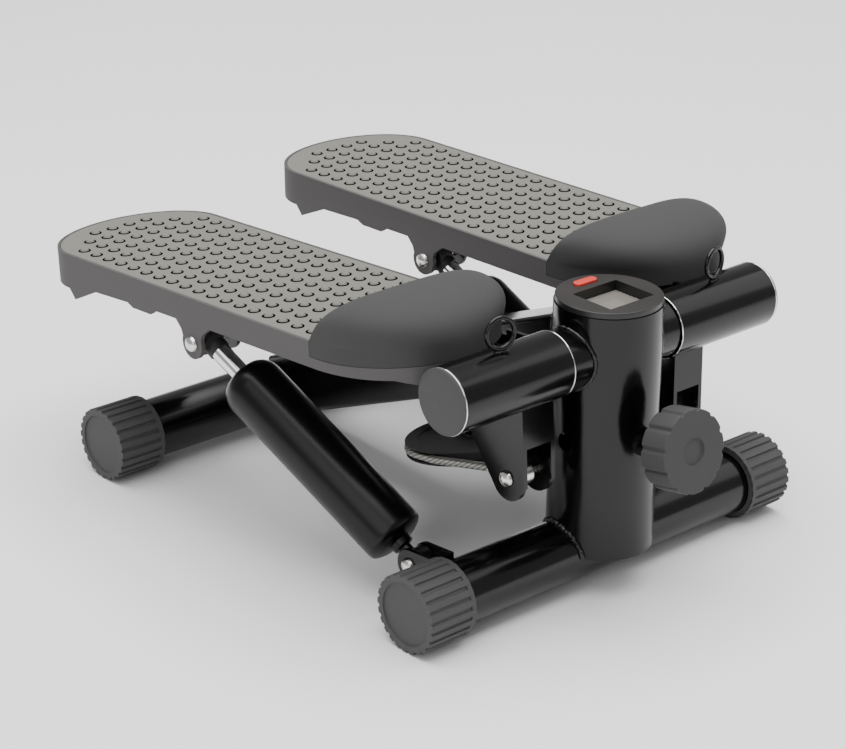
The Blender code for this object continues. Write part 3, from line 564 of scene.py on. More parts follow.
def twisted_steel(name, colour, turns, strands):
    """Bright wire rope: slanting strands from the piece's own UV map."""
    made = surface(name, colour, 0.32, 1.0, mottle=0.2, patch=400.0, grain=2500.0)
    nodes, links = made.node_tree.nodes, made.node_tree.links
    shader = nodes["Principled BSDF"]
    chart = nodes.new("ShaderNodeUVMap")
    chart.uv_map = "route"
    split = nodes.new("ShaderNodeSeparateXYZ")
    links.new(chart.outputs["UV"], split.inputs["Vector"])
    along = nodes.new("ShaderNodeMath")
    along.operation = "MULTIPLY"
    along.inputs[1].default_value = turns
    links.new(split.outputs["X"], along.inputs[0])
    around = nodes.new("ShaderNodeMath")
    around.operation = "MULTIPLY_ADD"
    around.inputs[1].default_value = strands
    links.new(split.outputs["Y"], around.inputs[0])
    links.new(along.outputs["Value"], around.inputs[2])
    fold = nodes.new("ShaderNodeMath")
    fold.operation = "PINGPONG"
    fold.inputs[1].default_value = 0.5
    links.new(around.outputs["Value"], fold.inputs[0])
    # The ramp darkens the steel colour towards the grooves between strands: painted shade in the rope's
    # creases.
    painted_groove_shade = nodes.new("ShaderNodeValToRGB")
    painted_groove_shade.color_ramp.elements[0].color = (*[c * 0.25 for c in colour], 1.0)
    painted_groove_shade.color_ramp.elements[1].position = 0.5
    painted_groove_shade.color_ramp.elements[1].color = (*colour, 1.0)
    links.new(fold.outputs["Value"], painted_groove_shade.inputs["Fac"])
    links.new(painted_groove_shade.outputs["Color"], shader.inputs["Base Color"])
    bump = nodes.new("ShaderNodeBump")
    bump.inputs["Strength"].default_value = 0.9
    bump.inputs["Distance"].default_value = 0.0006
    links.new(fold.outputs["Value"], bump.inputs["Height"])
    links.new(bump.outputs["Normal"], shader.inputs["Normal"])
    return made


def plain_finishes():
    """Colour, roughness and surface settings of every plain finish, by name."""
    sizes = bpy.context.scene.stepper
    paint, plastic, tread = sizes.paint_colour, sizes.plastic_colour, sizes.tread_colour
    # A near-black copy of the tread colour: painted shade for the groove round each nub's foot.
    ring = [c * 0.10 for c in tread]
    return {
        "gloss_black_paint": (paint, sizes.paint_roughness, {"grain": 260.0, "relief": 0.05, "shine": 0.35}),
        "damper_black": (paint, 0.30, {"grain": 400.0, "relief": 0.06, "shine": 0.25}),
        "weld_bead": (paint, 0.26, {"grain": 420.0, "relief": 0.9, "depth": 0.0008}),
        "cap_plastic": (plastic, 0.58, {"grain": 1400.0, "relief": 0.25, "shine": 0.2}),
        "knob_plastic": ((0.007, 0.007, 0.0067), 0.50, {"grain": 1400.0, "relief": 0.25, "shine": 0.2}),
        "dome_plastic": ((0.011, 0.011, 0.011), 0.40, {"grain": 1200.0, "relief": 0.15, "shine": 0.35}),
        "pan_plastic": ((0.012, 0.0117, 0.0112), 0.52, {"grain": 1600.0, "relief": 0.3, "shine": 0.15}),
        "pulley_plastic": ((0.012, 0.012, 0.012), 0.38, {"grain": 1200.0, "relief": 0.12}),
        "tread_rubber": (tread, 0.62, {"grain": 1800.0, "relief": 0.35, "shine": 0.10}),
        "nub_groove_shade": (ring, 0.80, {"grain": 1800.0, "shine": 0.0}),
        "cup_rubber": ((0.0055, 0.0055, 0.0052), 0.36, {"grain": 1500.0, "relief": 0.2, "shine": 0.35}),
        "bush_rubber": ((0.016, 0.016, 0.016), 0.60, {"grain": 1500.0, "relief": 0.2}),
        "zinc_plate": ((0.72, 0.71, 0.68), 0.26, {"metallic": 1.0, "mottle": 0.15, "patch": 300.0}),
        "chrome": (
            (0.80, 0.80, 0.80), 0.09, {"metallic": 1.0, "mottle": 0.04, "patch": 200.0, "relief": 0.02}
        ),
        # Lighter grey for the housing's top face: painted light where the top catches the overhead light.
        "lit_display_top": ((0.026, 0.0242, 0.0228), 0.46, {"grain": 1500.0, "relief": 0.2, "shine": 0.12}),
        "display_black": ((0.010, 0.010, 0.010), 0.35, {"grain": 1200.0, "relief": 0.1}),
        "display_glass": ((0.16, 0.148, 0.132), 0.12, {"mottle": 0.05, "relief": 0.01}),
        "button_red": ((0.55, 0.030, 0.018), 0.38, {"grain": 1200.0, "relief": 0.1}),
    }


def finish(name):
    """One of the stepper's finishes, made the first time it is asked for."""
    found = bpy.data.materials.get(name)
    if found:
        return found
    if name == "wire_rope":
        return twisted_steel(name, (0.60, 0.59, 0.55), turns=150.0, strands=6.0)
    colour, roughness, settings = plain_finishes()[name]
    return surface(name, colour, roughness, **settings)


# Pieces ---------------------------------------------------------------------------------------

def piece(name, mesh, coat, body, nodes=(), side=1.0, place=None, bevel=0.0, sharp=32.0):
    """Makes a finished piece in place: shaded, coated, riding its body and standing for its CAD nodes."""
    if side < 0:
        bmesh.ops.scale(mesh, vec=(-1, 1, 1), verts=mesh.verts)
    if place is not None:
        bmesh.ops.transform(mesh, matrix=place, verts=mesh.verts)
    made = as_object(mesh, name)
    return settle(made, coat, body, nodes, bevel, sharp)


def side_piece(side, name, mesh, coat, body, node=None, place=None, **edges):
    """Makes one side's copy of a piece that stands for that side's node of the same name."""
    nodes = [f"{side}_{node or name}"]
    return piece(f"{side}_{name}_finish", mesh, coat, body, nodes, SIDES[side], place, **edges)


def settle(made, coat, body, nodes=(), bevel=0.0, sharp=32.0):
    """Shades and coats an object that is in place, then hands it to its body."""
    made.data.shade_smooth()
    made.data.set_sharp_from_angle(angle=math.radians(sharp))
    if not made.data.materials:
        made.data.materials.append(finish(coat))
    if bevel:
        edge = made.modifiers.new("edge", "BEVEL")
        edge.width = bevel
        edge.segments = 2
        edge.limit_method = "ANGLE"
        edge.angle_limit = math.radians(max(sharp, 28.0))
        edge.harden_normals = True
    if body:
        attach(made, body)
    if nodes:
        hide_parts(*nodes)
    return made


def bead(points, radius, sides=10):
    """A weld bead that swells and narrows along its line."""
    mesh = sweep(points, radius, sides)
    for i, vert in enumerate(mesh.verts):
        ring = i // sides
        centre = Vector(points[ring])
        vert.co = centre + (vert.co - centre) * (1.0 + 0.22 * math.sin(ring * 2.4))
    return mesh


def ring_on(radius, wire, x, place=ALONG_X):
    """A thin ring round the X axis of a place."""
    return torus(radius, wire, place @ Matrix.Translation((0, 0, x)), steps=ROUND, sides=10)


def saddle_points(count=40):
    """Half of the line where the post meets the front tube, on the +X side."""
    offset = FRONT_TUBE_Y - POST_Y
    points = []
    for i in range(count + 1):
        across = -1.0 + 2.0 * i / count
        y = offset + across * (TUBE_RADIUS + 0.0004)
        x = math.sqrt((POST_RADIUS + 0.0004) ** 2 - y * y)
        z = TUBE_Z + (TUBE_RADIUS + 0.0004) * math.sqrt(max(1 - across * across, 0.0))
        points.append((x, POST_Y + y, max(z, POST_BOTTOM + 0.001)))
    return points


def rounded_box(half, depth, radius, steps=8):
    """Outline of a rounded box section, its top at zero."""
    points = []
    for x, y, start in (
        (half - radius, -radius, 0),
        (-half + radius, -radius, 90),
        (-half + radius, -depth + radius, 180),
        (half - radius, -depth + radius, 270),
    ):
        points += arc((x, y), radius, start, start + 90, steps)
    return points


# Geometry Nodes -------------------------------------------------------------------------------

def new_tree(name, inputs):
    """An empty Geometry Nodes tree with named inputs."""
    tree = bpy.data.node_groups.new(name, "GeometryNodeTree")
    tree.interface.new_socket("Geometry", in_out="INPUT", socket_type="NodeSocketGeometry")
    for label, kind, value in inputs:
        made = tree.interface.new_socket(label, in_out="INPUT", socket_type=kind)
        made.default_value = value
    tree.interface.new_socket("Geometry", in_out="OUTPUT", socket_type="NodeSocketGeometry")
    return tree, tree.nodes.new("NodeGroupInput"), tree.nodes.new("NodeGroupOutput")


def nub_tree():
    """Round nubs on points: a dark ring let into the tread and a low dome inside it."""
    tree, given, result = new_tree("tread_nubs", [
        ("Radius", "NodeSocketFloat", 0.0031),
        ("Height", "NodeSocketFloat", 0.0017),
        ("Ring", "NodeSocketFloat", 0.0043),
    ])
    nodes, links = tree.nodes, tree.links
    dome = nodes.new("GeometryNodeMeshUVSphere")
    dome.inputs["Segments"].default_value = 16
    dome.inputs["Rings"].default_value = 8
    links.new(given.outputs["Radius"], dome.inputs["Radius"])
    share = nodes.new("ShaderNodeMath")
    share.operation = "DIVIDE"
    links.new(given.outputs["Height"], share.inputs[0])
    links.new(given.outputs["Radius"], share.inputs[1])
    stretch = nodes.new("ShaderNodeCombineXYZ")
    stretch.inputs["X"].default_value = 1.0
    stretch.inputs["Y"].default_value = 1.0
    links.new(share.outputs["Value"], stretch.inputs["Z"])
    flat = nodes.new("GeometryNodeTransform")
    links.new(dome.outputs["Mesh"], flat.inputs["Geometry"])
    links.new(stretch.outputs["Vector"], flat.inputs["Scale"])
    ring = nodes.new("GeometryNodeMeshCylinder")
    ring.inputs["Vertices"].default_value = 20
    ring.inputs["Depth"].default_value = 0.0005
    links.new(given.outputs["Ring"], ring.inputs["Radius"])
    pieces = []
    # The near-black disc under each dome is painted shade round the nub's foot.
    for shape, coat in ((flat.outputs["Geometry"], "tread_rubber"), (ring.outputs["Mesh"], "nub_groove_shade")):
        scatter = nodes.new("GeometryNodeInstanceOnPoints")
        links.new(given.outputs["Geometry"], scatter.inputs["Points"])
        links.new(shape, scatter.inputs["Instance"])
        real = nodes.new("GeometryNodeRealizeInstances")
        links.new(scatter.outputs["Instances"], real.inputs["Geometry"])
        paint = nodes.new("GeometryNodeSetMaterial")
        paint.inputs["Material"].default_value = finish(coat)
        links.new(real.outputs["Geometry"], paint.inputs["Geometry"])
        pieces.append(paint.outputs["Geometry"])
    both = nodes.new("GeometryNodeJoinGeometry")
    for made in pieces:
        links.new(made, both.inputs["Geometry"])
    links.new(both.outputs["Geometry"], result.inputs["Geometry"])
    return tree


def grow(name, points, tree, values):
    """Runs a tree on loose points and returns the plain mesh object."""
    data = bpy.data.meshes.new(name)
    data.from_pydata(points, [], [])
    seed = bpy.data.objects.new(name, data)
    bpy.context.collection.objects.link(seed)
    modifier = seed.modifiers.new("grow", "NODES")
    modifier.node_group = tree
    for socket in tree.interface.items_tree:
        if socket.in_out == "INPUT" and socket.name in values:
            modifier[socket.identifier] = values[socket.name]
    bpy.context.view_layer.update()
    graph = bpy.context.evaluated_depsgraph_get()
    made = bpy.data.meshes.new_from_object(seed.evaluated_get(graph))
    seed.modifiers.clear()
    seed.data = made
    made.name = name
    return seed


# Builders -------------------------------------------------------------------------------------

def build_tubes():
    """Floor tubes and their ribbed end caps."""
    for name, y in (("front", FRONT_TUBE_Y), ("rear", REAR_TUBE_Y)):
        line = x_axis_at(y, TUBE_Z)
        tube = pipe(TUBE_RADIUS, TUBE_RADIUS - TUBE_WALL, -TUBE_HALF, TUBE_HALF, line)
        piece(f"{name}_tube_finish", tube, "gloss_black_paint", "frame", [f"{name}_tube"])
        for side, sign in SIDES.items():
            node = f"{name}_{side}_end_cap"
            piece(f"{node}_finish", end_cap(y), "cap_plastic", "frame", [node], sign, bevel=0.0004)
            outer, inner = CAP_RADIUS - 0.0002, CAP_GROOVE_RADIUS - 0.0004
            lip = pipe(outer, inner, CAP_INNER_X, CAP_INNER_X + 0.0035, line)
            piece(f"{node}_lip", lip, "cap_plastic", "frame", side=sign, bevel=0.0005)


def build_post():
    """Post over the front tube, with its weld, the collars and the axle."""
    upright = Matrix.Translation((0, POST_Y, 0))
    post = cut(
        pipe(POST_RADIUS, POST_RADIUS - POST_WALL, POST_BOTTOM, POST_TOP, upright, 128),
        cylinder(TUBE_RADIUS + GAP, -0.06, 0.06, x_axis_at(FRONT_TUBE_Y, TUBE_Z)),
        cylinder(AXLE_RADIUS + GAP, -0.06, 0.06, x_axis_at(AXLE_Y, AXLE_Z)),
        cylinder(SCREW_RADIUS + 0.0004, -0.01, 0.14, knob_frame(), SMALL),
        cylinder(POST_HOLE_RADIUS, -0.05, -0.02, x_axis_at(POST_Y, POST_HOLE_Z), SMALL),
    )
    piece("post_finish", post, "gloss_black_paint", "frame", ["post"], bevel=0.0005)
    line = x_axis_at(AXLE_Y, AXLE_Z)
    for side, sign in SIDES.items():
        piece(f"saddle_weld_{side}", bead(saddle_points(), 0.0017), "weld_bead", "frame", side=sign)
        collar = cut(
            pipe(COLLAR_RADIUS, AXLE_RADIUS + GAP, 0.020, COLLAR_OUTER_X, line),
            cylinder(POST_RADIUS + GAP, 0.1, 0.2, upright, 128),
        )
        side_piece(side, "collar", collar, "gloss_black_paint", "frame")
        ring = []
        for i in range(61):
            turn = 2 * math.pi * i / 60
            y = (COLLAR_RADIUS + 0.0003) * math.cos(turn)
            depth = math.sqrt((POST_RADIUS + 0.0003) ** 2 - (y + AXLE_Y - POST_Y) ** 2)
            ring.append((depth, AXLE_Y + y, AXLE_Z + (COLLAR_RADIUS + 0.0003) * math.sin(turn)))
        piece(f"{side}_collar_weld", bead(ring, 0.0013), "weld_bead", "frame", side=sign)


def build_beam():
    """Sloping beam with rounded corners and its weld to the post."""
    place = Matrix.Translation((0, *BEAM_TOP_POINT)) @ Matrix.Rotation(-BEAM_SLOPE, 4, "X")
    stand = place @ Matrix.Rotation(math.pi / 2, 4, "X")
    wall = BEAM_WALL
    half = BEAM_WIDTH / 2
    outside = prism(rounded_box(half, BEAM_DEPTH, 0.003), -BEAM_END, -BEAM_START, stand)
    hollow = [(x, y - wall) for x, y in rounded_box(half - wall, BEAM_DEPTH - 2 * wall, 0.0015)]
    inside = prism(hollow, -BEAM_END - 0.01, -BEAM_START + 0.01, stand)
    beam = cut(
        outside,
        inside,
        cylinder(POST_RADIUS + GAP, 0.05, 0.25, Matrix.Translation((0, POST_Y, 0)), 128),
        cylinder(TUBE_RADIUS + GAP, -0.06, 0.06, x_axis_at(REAR_TUBE_Y, TUBE_Z)),
    )
    piece("main_beam_finish", beam, "gloss_black_paint", "frame", ["main_beam"])
    weld = []
    for x, depth in rounded_box(half, BEAM_DEPTH, 0.003, 6):
        reach = math.sqrt((POST_RADIUS + 0.0003) ** 2 - x * x)
        height = BEAM_TOP_POINT[1] + (BEAM_TOP_POINT[0] - POST_Y - reach) * math.tan(BEAM_SLOPE)
        weld.append((x, POST_Y + reach, height + depth / math.cos(BEAM_SLOPE)))
    dense = []
    for first, second in zip(weld, weld[1:] + weld[:1]):
        gap = (Vector(second) - Vector(first)).length
        steps = max(1, round(gap / 0.0022))
        for i in range(steps):
            point = Vector(first).lerp(Vector(second), i / steps)
            point.y = POST_Y + math.sqrt((POST_RADIUS + 0.0003) ** 2 - point.x ** 2)
            dense.append(tuple(point))
    piece("beam_weld", bead(dense, 0.0014), "weld_bead", "frame")


def build_display():
    """Display housing with its sunk window, the lens and the reset button."""
    upright = Matrix.Translation((0, POST_Y, 0))
    plug = POST_RADIUS - POST_WALL - GAP
    flange = POST_TOP + GAP
    profile = [(0, 0.184), (plug, 0.184), (plug, flange), (HOUSING_RADIUS, flange)]
    edge = 0.0006
    for i in range(5):
        turn = math.radians(90 * i / 4)
        out, up = edge * math.cos(turn), edge * math.sin(turn)
        profile.append((HOUSING_RADIUS - edge + out, HOUSING_TOP - edge + up))
    profile.append((0, HOUSING_TOP))
    low = [c - s / 2 for c, s in zip(WINDOW_CENTRE, WINDOW_SIZE)]
    high = [c + s / 2 for c, s in zip(WINDOW_CENTRE, WINDOW_SIZE)]
    housing = cut(
        revolve(profile, 128, upright),
        block((*low, WINDOW_FLOOR), (*high, 0.21)),
        prism(stadium(BUTTON_CENTRE, [s + 2 * GAP for s in BUTTON_SIZE], 16), BUTTON_HOLE_FLOOR, 0.21),
    )
    made = piece("display_housing_finish", housing, "display_black", "frame", ["display_housing"])
    # The faces pointing up at the top get the lighter grey: painted light on the housing's top.
    made.data.materials.append(finish("lit_display_top"))
    for face in made.data.polygons:
        if face.normal.z > 0.9 and face.center.z > HOUSING_TOP - 0.0005:
            face.material_index = 1
    lens = block(
        (low[0] + GAP, low[1] + GAP, WINDOW_FLOOR + GAP), (high[0] - GAP, high[1] - GAP, LENS_TOP)
    )
    piece("display_lens_finish", lens, "display_glass", "frame", ["display_lens"], bevel=0.0003)
    button = prism(stadium(BUTTON_CENTRE, BUTTON_SIZE, 16), BUTTON_BOTTOM, BUTTON_TOP)
    piece("reset_button_finish", button, "button_red", "button", ["reset_button"], bevel=0.0006)


def knob_outline(steps=20):
    """Lobed outline of the tension knob."""
    points = []
    for i in range(KNOB_LOBES * steps):
        share = (i / steps) % 1.0
        dip = max(0.0, 1.0 - abs(share - 0.5) / 0.17)
        reach = KNOB_RADIUS * (1.0 - 0.06 * math.sin(dip * math.pi / 2) ** 2)
        turn = math.pi / 2 + 2 * math.pi * i / (KNOB_LOBES * steps)
        points.append((reach * math.cos(turn), reach * math.sin(turn)))
    return points


def build_knob():
    """Tension knob, its screw and the boss on the post."""
    place = knob_frame()
    knob = cut(
        prism(knob_outline(), 0, KNOB_DEPTH),
        cylinder(0.009, -0.01, 0.0015, steps=64),
        cylinder(SCREW_RADIUS + GAP, SCREW_START - GAP, KNOB_DEPTH + 0.01, steps=SMALL),
    )
    piece(
        "tension_knob_finish", knob, "knob_plastic", "knob", ["tension_knob"],
        place=place, bevel=0.0011, sharp=40,
    )
    screw = cylinder(SCREW_RADIUS, SCREW_START, SCREW_START + SCREW_LENGTH, steps=SMALL)
    piece("tension_screw_finish", screw, "zinc_plate", "knob", ["tension_screw"], place=place, bevel=0.0006)
    boss = cut(
        pipe(BOSS_RADIUS, SCREW_RADIUS + 0.0004, BOSS_FACE, 0.060, place, 64),
        cylinder(POST_RADIUS + GAP, 0.05, 0.2, Matrix.Translation((0, POST_Y, 0)), 128),
    )
    piece("screw_boss_finish", boss, "gloss_black_paint", "frame", ["screw_boss"], bevel=0.0004)


def build_pulley():
    """Pulley with a sunk web, its yoke and its pin."""
    place = tilted(PULLEY_CENTRE, PULLEY_TILT)
    bore = PULLEY_PIN_RADIUS + GAP
    half = PULLEY_HALF
    profile = [
        (bore, -half), (0.013, -half), (0.0135, -half + 0.0012), (0.0445, -half + 0.0012), (0.045, -half),
        (PULLEY_RADIUS - 0.0003, -half), (PULLEY_RADIUS, -half + 0.0003), (PULLEY_RADIUS, -0.0036),
        (GROOVE_RADIUS, -0.00305), (GROOVE_RADIUS, 0.00305), (PULLEY_RADIUS, 0.0036),
        (PULLEY_RADIUS, half - 0.0003), (PULLEY_RADIUS - 0.0003, half), (0.045, half),
        (0.0445, half - 0.0012), (0.0135, half - 0.0012), (0.013, half), (bore, half),
    ]
    piece("pulley_finish", revolve(profile, 160), "pulley_plastic", "pulley", ["pulley"], place=place)
    inner = half + 0.0006
    outer = inner + YOKE_PLATE
    yoke = cut(
        join(
            block((-YOKE_HALF_WIDTH, YOKE_FRONT, -outer), (YOKE_HALF_WIDTH, 0.012, outer)),
            block((-YOKE_HALF_WIDTH, YOKE_FRONT, 0), (YOKE_HALF_WIDTH, YOKE_FRONT + YOKE_PLATE, YOKE_TOP)),
        ),
        block((-0.03, YOKE_FRONT + YOKE_PLATE, -inner), (0.03, 0.03, inner)),
        cylinder(bore, -0.02, 0.02, steps=SMALL),
    )
    bmesh.ops.transform(yoke, matrix=place, verts=yoke.verts)
    yoke = cut(yoke, cylinder(SCREW_RADIUS + 0.0004, 0.08, 0.16, knob_frame(), SMALL))
    piece("pulley_yoke_finish", yoke, "gloss_black_paint", "frame", ["pulley_yoke"], bevel=0.0005)
    seat = outer + GAP
    head = [
        (0, -seat - 0.004), (0.0066, -seat - 0.004), (0.007, -seat - 0.0036), (0.007, -seat),
        (PULLEY_PIN_RADIUS, -seat), (PULLEY_PIN_RADIUS, seat), (0.007, seat),
        (0.007, seat + 0.0036), (0.0066, seat + 0.004), (0, seat + 0.004),
    ]
    piece("pulley_pin_finish", revolve(head, SMALL), "zinc_plate", "frame", ["pulley_pin"], place=place)


def rope(name, points, sides=16):
    """A length of wire rope with a UV map along and around it."""
    mesh = sweep(points, CABLE_RADIUS, sides)
    travelled = [0.0]
    for first, second in zip(points, points[1:]):
        travelled.append(travelled[-1] + (Vector(second) - Vector(first)).length)
    made = as_object(mesh, name)
    chart = made.data.uv_layers.new(name="route")
    for face in made.data.polygons:
        is_cap = len(face.vertices) > 4
        places = [vertex % sides for vertex in face.vertices]
        closes = min(places) == 0 and max(places) == sides - 1 and not is_cap
        for corner, vertex in zip(face.loop_indices, face.vertices):
            around = vertex % sides
            if closes and around == 0:
                around = sides
            chart.data[corner].uv = (travelled[vertex // sides], around / sides)
    return made


def spaced(points, gap=0.004):
    """The same line with points at most a gap apart."""
    dense = [Vector(points[0])]
    for first, second in zip(points, points[1:]):
        first, second = Vector(first), Vector(second)
        steps = max(1, math.ceil((second - first).length / gap))
        dense += [first.lerp(second, (i + 1) / steps) for i in range(steps)]
    return dense


def build_cable():
    """Wire rope: a run to each pedal and the wrap round the pulley."""
    place = tilted(PULLEY_CENTRE, PULLEY_TILT)
    runs = {side: cable_run(side) for side in SIDES}
    first, last = runs["left"][1], math.pi - runs["right"][1]
    wrap = []
    for i in range(61):
        turn = first + (last - first) * i / 60
        wrap.append(place @ (Vector((math.cos(turn), math.sin(turn), 0)) * CABLE_WRAP_RADIUS))
    made = settle(rope("cable_wrap", wrap), "wire_rope", "frame", ["cable"], sharp=80)
    for side, meeting in (("left", wrap[0]), ("right", wrap[-1])):
        points = spaced(runs[side][0] + [meeting])
        run = settle(rope(f"{side}_cable_run", points), "wire_rope", None, sharp=80)
        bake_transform(run)
    return made


def toe_cup_mesh(sections=26, steps=72):
    """Outer skin of the toe cup with its skirt, in the pedal's frame."""
    crown = CUP_CREST_HEIGHT - 0.0007
    mesh = bmesh.new()
    front = TOE_Y + TOE_DEPTH
    rim_turn = -math.asin((CUP_RIM_Y - CUP_CREST_Y) / (CUP_CREST_Y - TOE_Y))
    grid = []
    for i in range(sections + 1):
        share = i / sections
        climb = rim_turn + (math.pi / 2 - rim_turn) * share
        foot = CUP_FOOT_Y + (front - CUP_FOOT_Y) * share
        crest = CUP_CREST_Y - (CUP_CREST_Y - TOE_Y) * math.sin(climb)
        height = crown * max(math.cos(climb), 0.0) ** 0.75
        power = CUP_ARCH_POWER + (TOE_POWER - CUP_ARCH_POWER) * share ** 2
        row = []
        for j in range(steps + 1):
            turn = math.pi * j / steps
            along = abs(math.cos(turn)) ** (2 / power) * (1 if turn < math.pi / 2 else -1)
            rise = max(math.sin(turn), 0.0) ** (2 / power)
            row.append(mesh.verts.new((
                PEDAL_X - PEDAL_HALF * along, foot + (crest - foot) * rise, TREAD_Z + height * rise
            )))
        grid.append(row)
    for row, following in zip(grid, grid[1:]):
        for j in range(steps):
            mesh.faces.new((row[j], row[j + 1], following[j + 1], following[j]))
    edge = [row[0] for row in grid[:-1]] + grid[-1] + [row[-1] for row in grid[-2::-1]]
    low, high = CUP_SKIRT_Z
    rear, ahead = CUP_SKIRT_Y
    hem = []
    for vert in edge:
        share = min(max((rear - vert.co.y) / (rear - ahead), 0.0), 1.0)
        hem.append(mesh.verts.new((vert.co.x, vert.co.y, low + (high - low) * share)))
    for i in range(len(edge) - 1):
        mesh.faces.new((edge[i], edge[i + 1], hem[i + 1], hem[i]))
    bmesh.ops.recalc_face_normals(mesh, faces=mesh.faces)
    middle = min(mesh.faces, key=lambda face: abs(face.calc_center_median().x - PEDAL_X))
    if middle.normal.z < 0:
        bmesh.ops.reverse_faces(mesh, faces=mesh.faces)
    data = bpy.data.meshes.new("scratch")
    mesh.to_mesh(data)
    mesh.free()
    shell = bpy.data.objects.new("scratch", data)
    bpy.context.collection.objects.link(shell)
    wall = shell.modifiers.new("wall", "SOLIDIFY")
    wall.thickness = CUP_WALL
    wall.offset = -1.0
    wall.use_even_offset = True
    return evaluated(shell)


def cup_band():
    """The band of the pedal's edge that the toe cup wraps."""
    outside, inside = PEDAL_X + PEDAL_HALF, PEDAL_X - PEDAL_HALF
    return combine(
        cut(prism(pedal_outline(-0.003), -0.03, 0.05), prism(pedal_outline(REBATE), -0.04, 0.06)),
        prism(skirt_line(), inside - 0.01, outside + 0.01, ALONG_X),
        "INTERSECT",
    )


def nub_points():
    """The square lattice of nubs that fits inside the tread's edge."""
    sizes = bpy.context.scene.stepper
    pitch = sizes.nub_pitch
    points = []
    centre = HEEL_Y - HEEL_DEPTH
    for column in range(8):
        x = PEDAL_X + (column - 3.5) * pitch
        for row in range(28):
            y = HEEL_Y - 0.0215 - row * pitch * 1.007
            beyond = max(y - centre, 0.0) / (HEEL_DEPTH - 0.0115)
            aside = (x - PEDAL_X) / (PEDAL_HALF - 0.0115)
            toe = ((TOE_Y + TOE_DEPTH - y) / (TOE_DEPTH - 0.014)) if y < TOE_Y + TOE_DEPTH else 0.0
            near = toe ** 2 + ((x - PEDAL_X) / (PEDAL_HALF - 0.010)) ** 2 < 1
            if near and (beyond == 0 or beyond ** 2 + aside ** 2 < 1):
                points.append((x, y, TREAD_Z))
    return points


def build_pedals():
    """Pans, treads with nubs, and toe cups."""
    outside, inside = PEDAL_X + PEDAL_HALF, PEDAL_X - PEDAL_HALF
    pin_line = Matrix.Translation((0, *UPPER_PIN)) @ ALONG_X
    tree = nub_tree()
    sizes = bpy.context.scene.stepper
    bracket_low, bracket_high = BRACKET_PLATES[0][0] - 0.0015, BRACKET_PLATES[1][1] + 0.0015
    for side, sign in SIDES.items():
        place = pedal_frame(side)
        body = f"{side}_pedal"
        pan = cut(
            prism(pedal_outline(0), -0.03, TREAD_Z),
            prism(pedal_outline(PAN_WALL, PAN_WALL + REBATE), -0.04, PAN_PLATE[0]),
            prism(pedal_outline(PAN_RIM, REBATE + 0.0017), PAN_PLATE[1], 0.04),
            cup_band(),
            twin(prism(underside(True), outside - 0.006, outside + 0.01, ALONG_X), side),
            twin(prism(underside(False), inside - 0.01, outside - 0.0059, ALONG_X), side),
            cylinder(SLEEVE_RADIUS + GAP, 0.030, SLEEVE_CAP_X + 0.0006, ALONG_X),
            twin(cylinder(PIN_RADIUS + GAP, 0.150, 0.170, pin_line, SMALL), side),
            block((bracket_low, -0.02, -0.03), (bracket_high, 0.058, PAN_PLATE[0])),
        )
        side_piece(side, "pan", pan, "pan_plastic", body, "pedal_pan", place, bevel=0.0005)
        tread = cut(
            prism(pedal_outline(PAN_RIM + GAP, REBATE + 0.0017 + GAP), PAN_PLATE[1] + GAP, TREAD_Z),
            cylinder(SLEEVE_RADIUS + GAP, 0.030, SLEEVE_CAP_X + 0.0006, ALONG_X),
        )
        side_piece(side, "tread", tread, "tread_rubber", body, place=place, bevel=0.0003)
        nubs = grow(f"{side}_nubs", nub_points(), tree, {
            "Radius": sizes.nub_radius, "Height": sizes.nub_height, "Ring": sizes.nub_radius * 1.42,
        })
        nubs.data.transform(place @ Matrix.Diagonal((sign, 1, 1, 1)))
        if sign < 0:
            nubs.data.flip_normals()
        settle(nubs, "tread_rubber", body, sharp=60)
        cup = toe_cup_mesh()
        side_piece(side, "toe_cup", cup, "cup_rubber", body, place=place, bevel=0.0006, sharp=40)


def build_sleeves():
    """Pedal sleeves with bright end rings, domed caps and eye loops."""
    for side, sign in SIDES.items():
        place = pedal_frame(side)
        body = f"{side}_pedal"
        sleeve = pipe(SLEEVE_RADIUS, AXLE_RADIUS + GAP, *SLEEVE_X, ALONG_X, 128)
        side_piece(side, "sleeve", sleeve, "gloss_black_paint", body, place=place, bevel=0.0006)
        for end, x in (("inner", SLEEVE_X[0] - 0.0001), ("outer", SLEEVE_X[1] + 0.0004)):
            ring = ring_on(SLEEVE_RADIUS - 0.0004, 0.00045, x)
            piece(f"{side}_{end}_ring", ring, "chrome", body, side=sign, place=place)
        seat = SLEEVE_X[1] + GAP
        dome = [(0, AXLE_HALF + GAP), (0.0172, AXLE_HALF + GAP), (0.0172, seat), (0.0213, seat)]
        for i in range(25):
            turn = math.radians(90 * i / 24)
            radius = 0.0213 * math.cos(turn) if i < 24 else 0.0
            nipple = 0.0006 * math.exp(-(radius / 0.0022) ** 2)
            height = (SLEEVE_CAP_X - 0.0006 - seat - 0.001) * math.sin(turn)
            dome.append((radius, seat + 0.001 + height + nipple))
        side_piece(side, "dome", revolve(dome, ROUND, ALONG_X), "dome_plastic", body, "sleeve_cap", place)
        height = SLEEVE_RADIUS + LOOP_RADIUS + LOOP_WIRE + GAP
        spot = Matrix.Translation((LOOP_X, LOOP_Y, height)) @ Matrix.Rotation(LOOP_TURN, 4, "Z")
        ring = torus(LOOP_RADIUS, LOOP_WIRE, spot @ Matrix.Rotation(math.pi / 2, 4, "X"), 72, 20)
        side_piece(side, "eye_loop", ring, "gloss_black_paint", body, place=place)
        foot = []
        for i in range(13):
            along = (-1 + 2 * i / 12) * 0.0045
            foot.append((LOOP_X + along, LOOP_Y + along * 0.2, SLEEVE_RADIUS - 0.0002))
        piece(f"{side}_loop_weld", bead(foot, 0.0013), "weld_bead", body, side=sign, place=place)


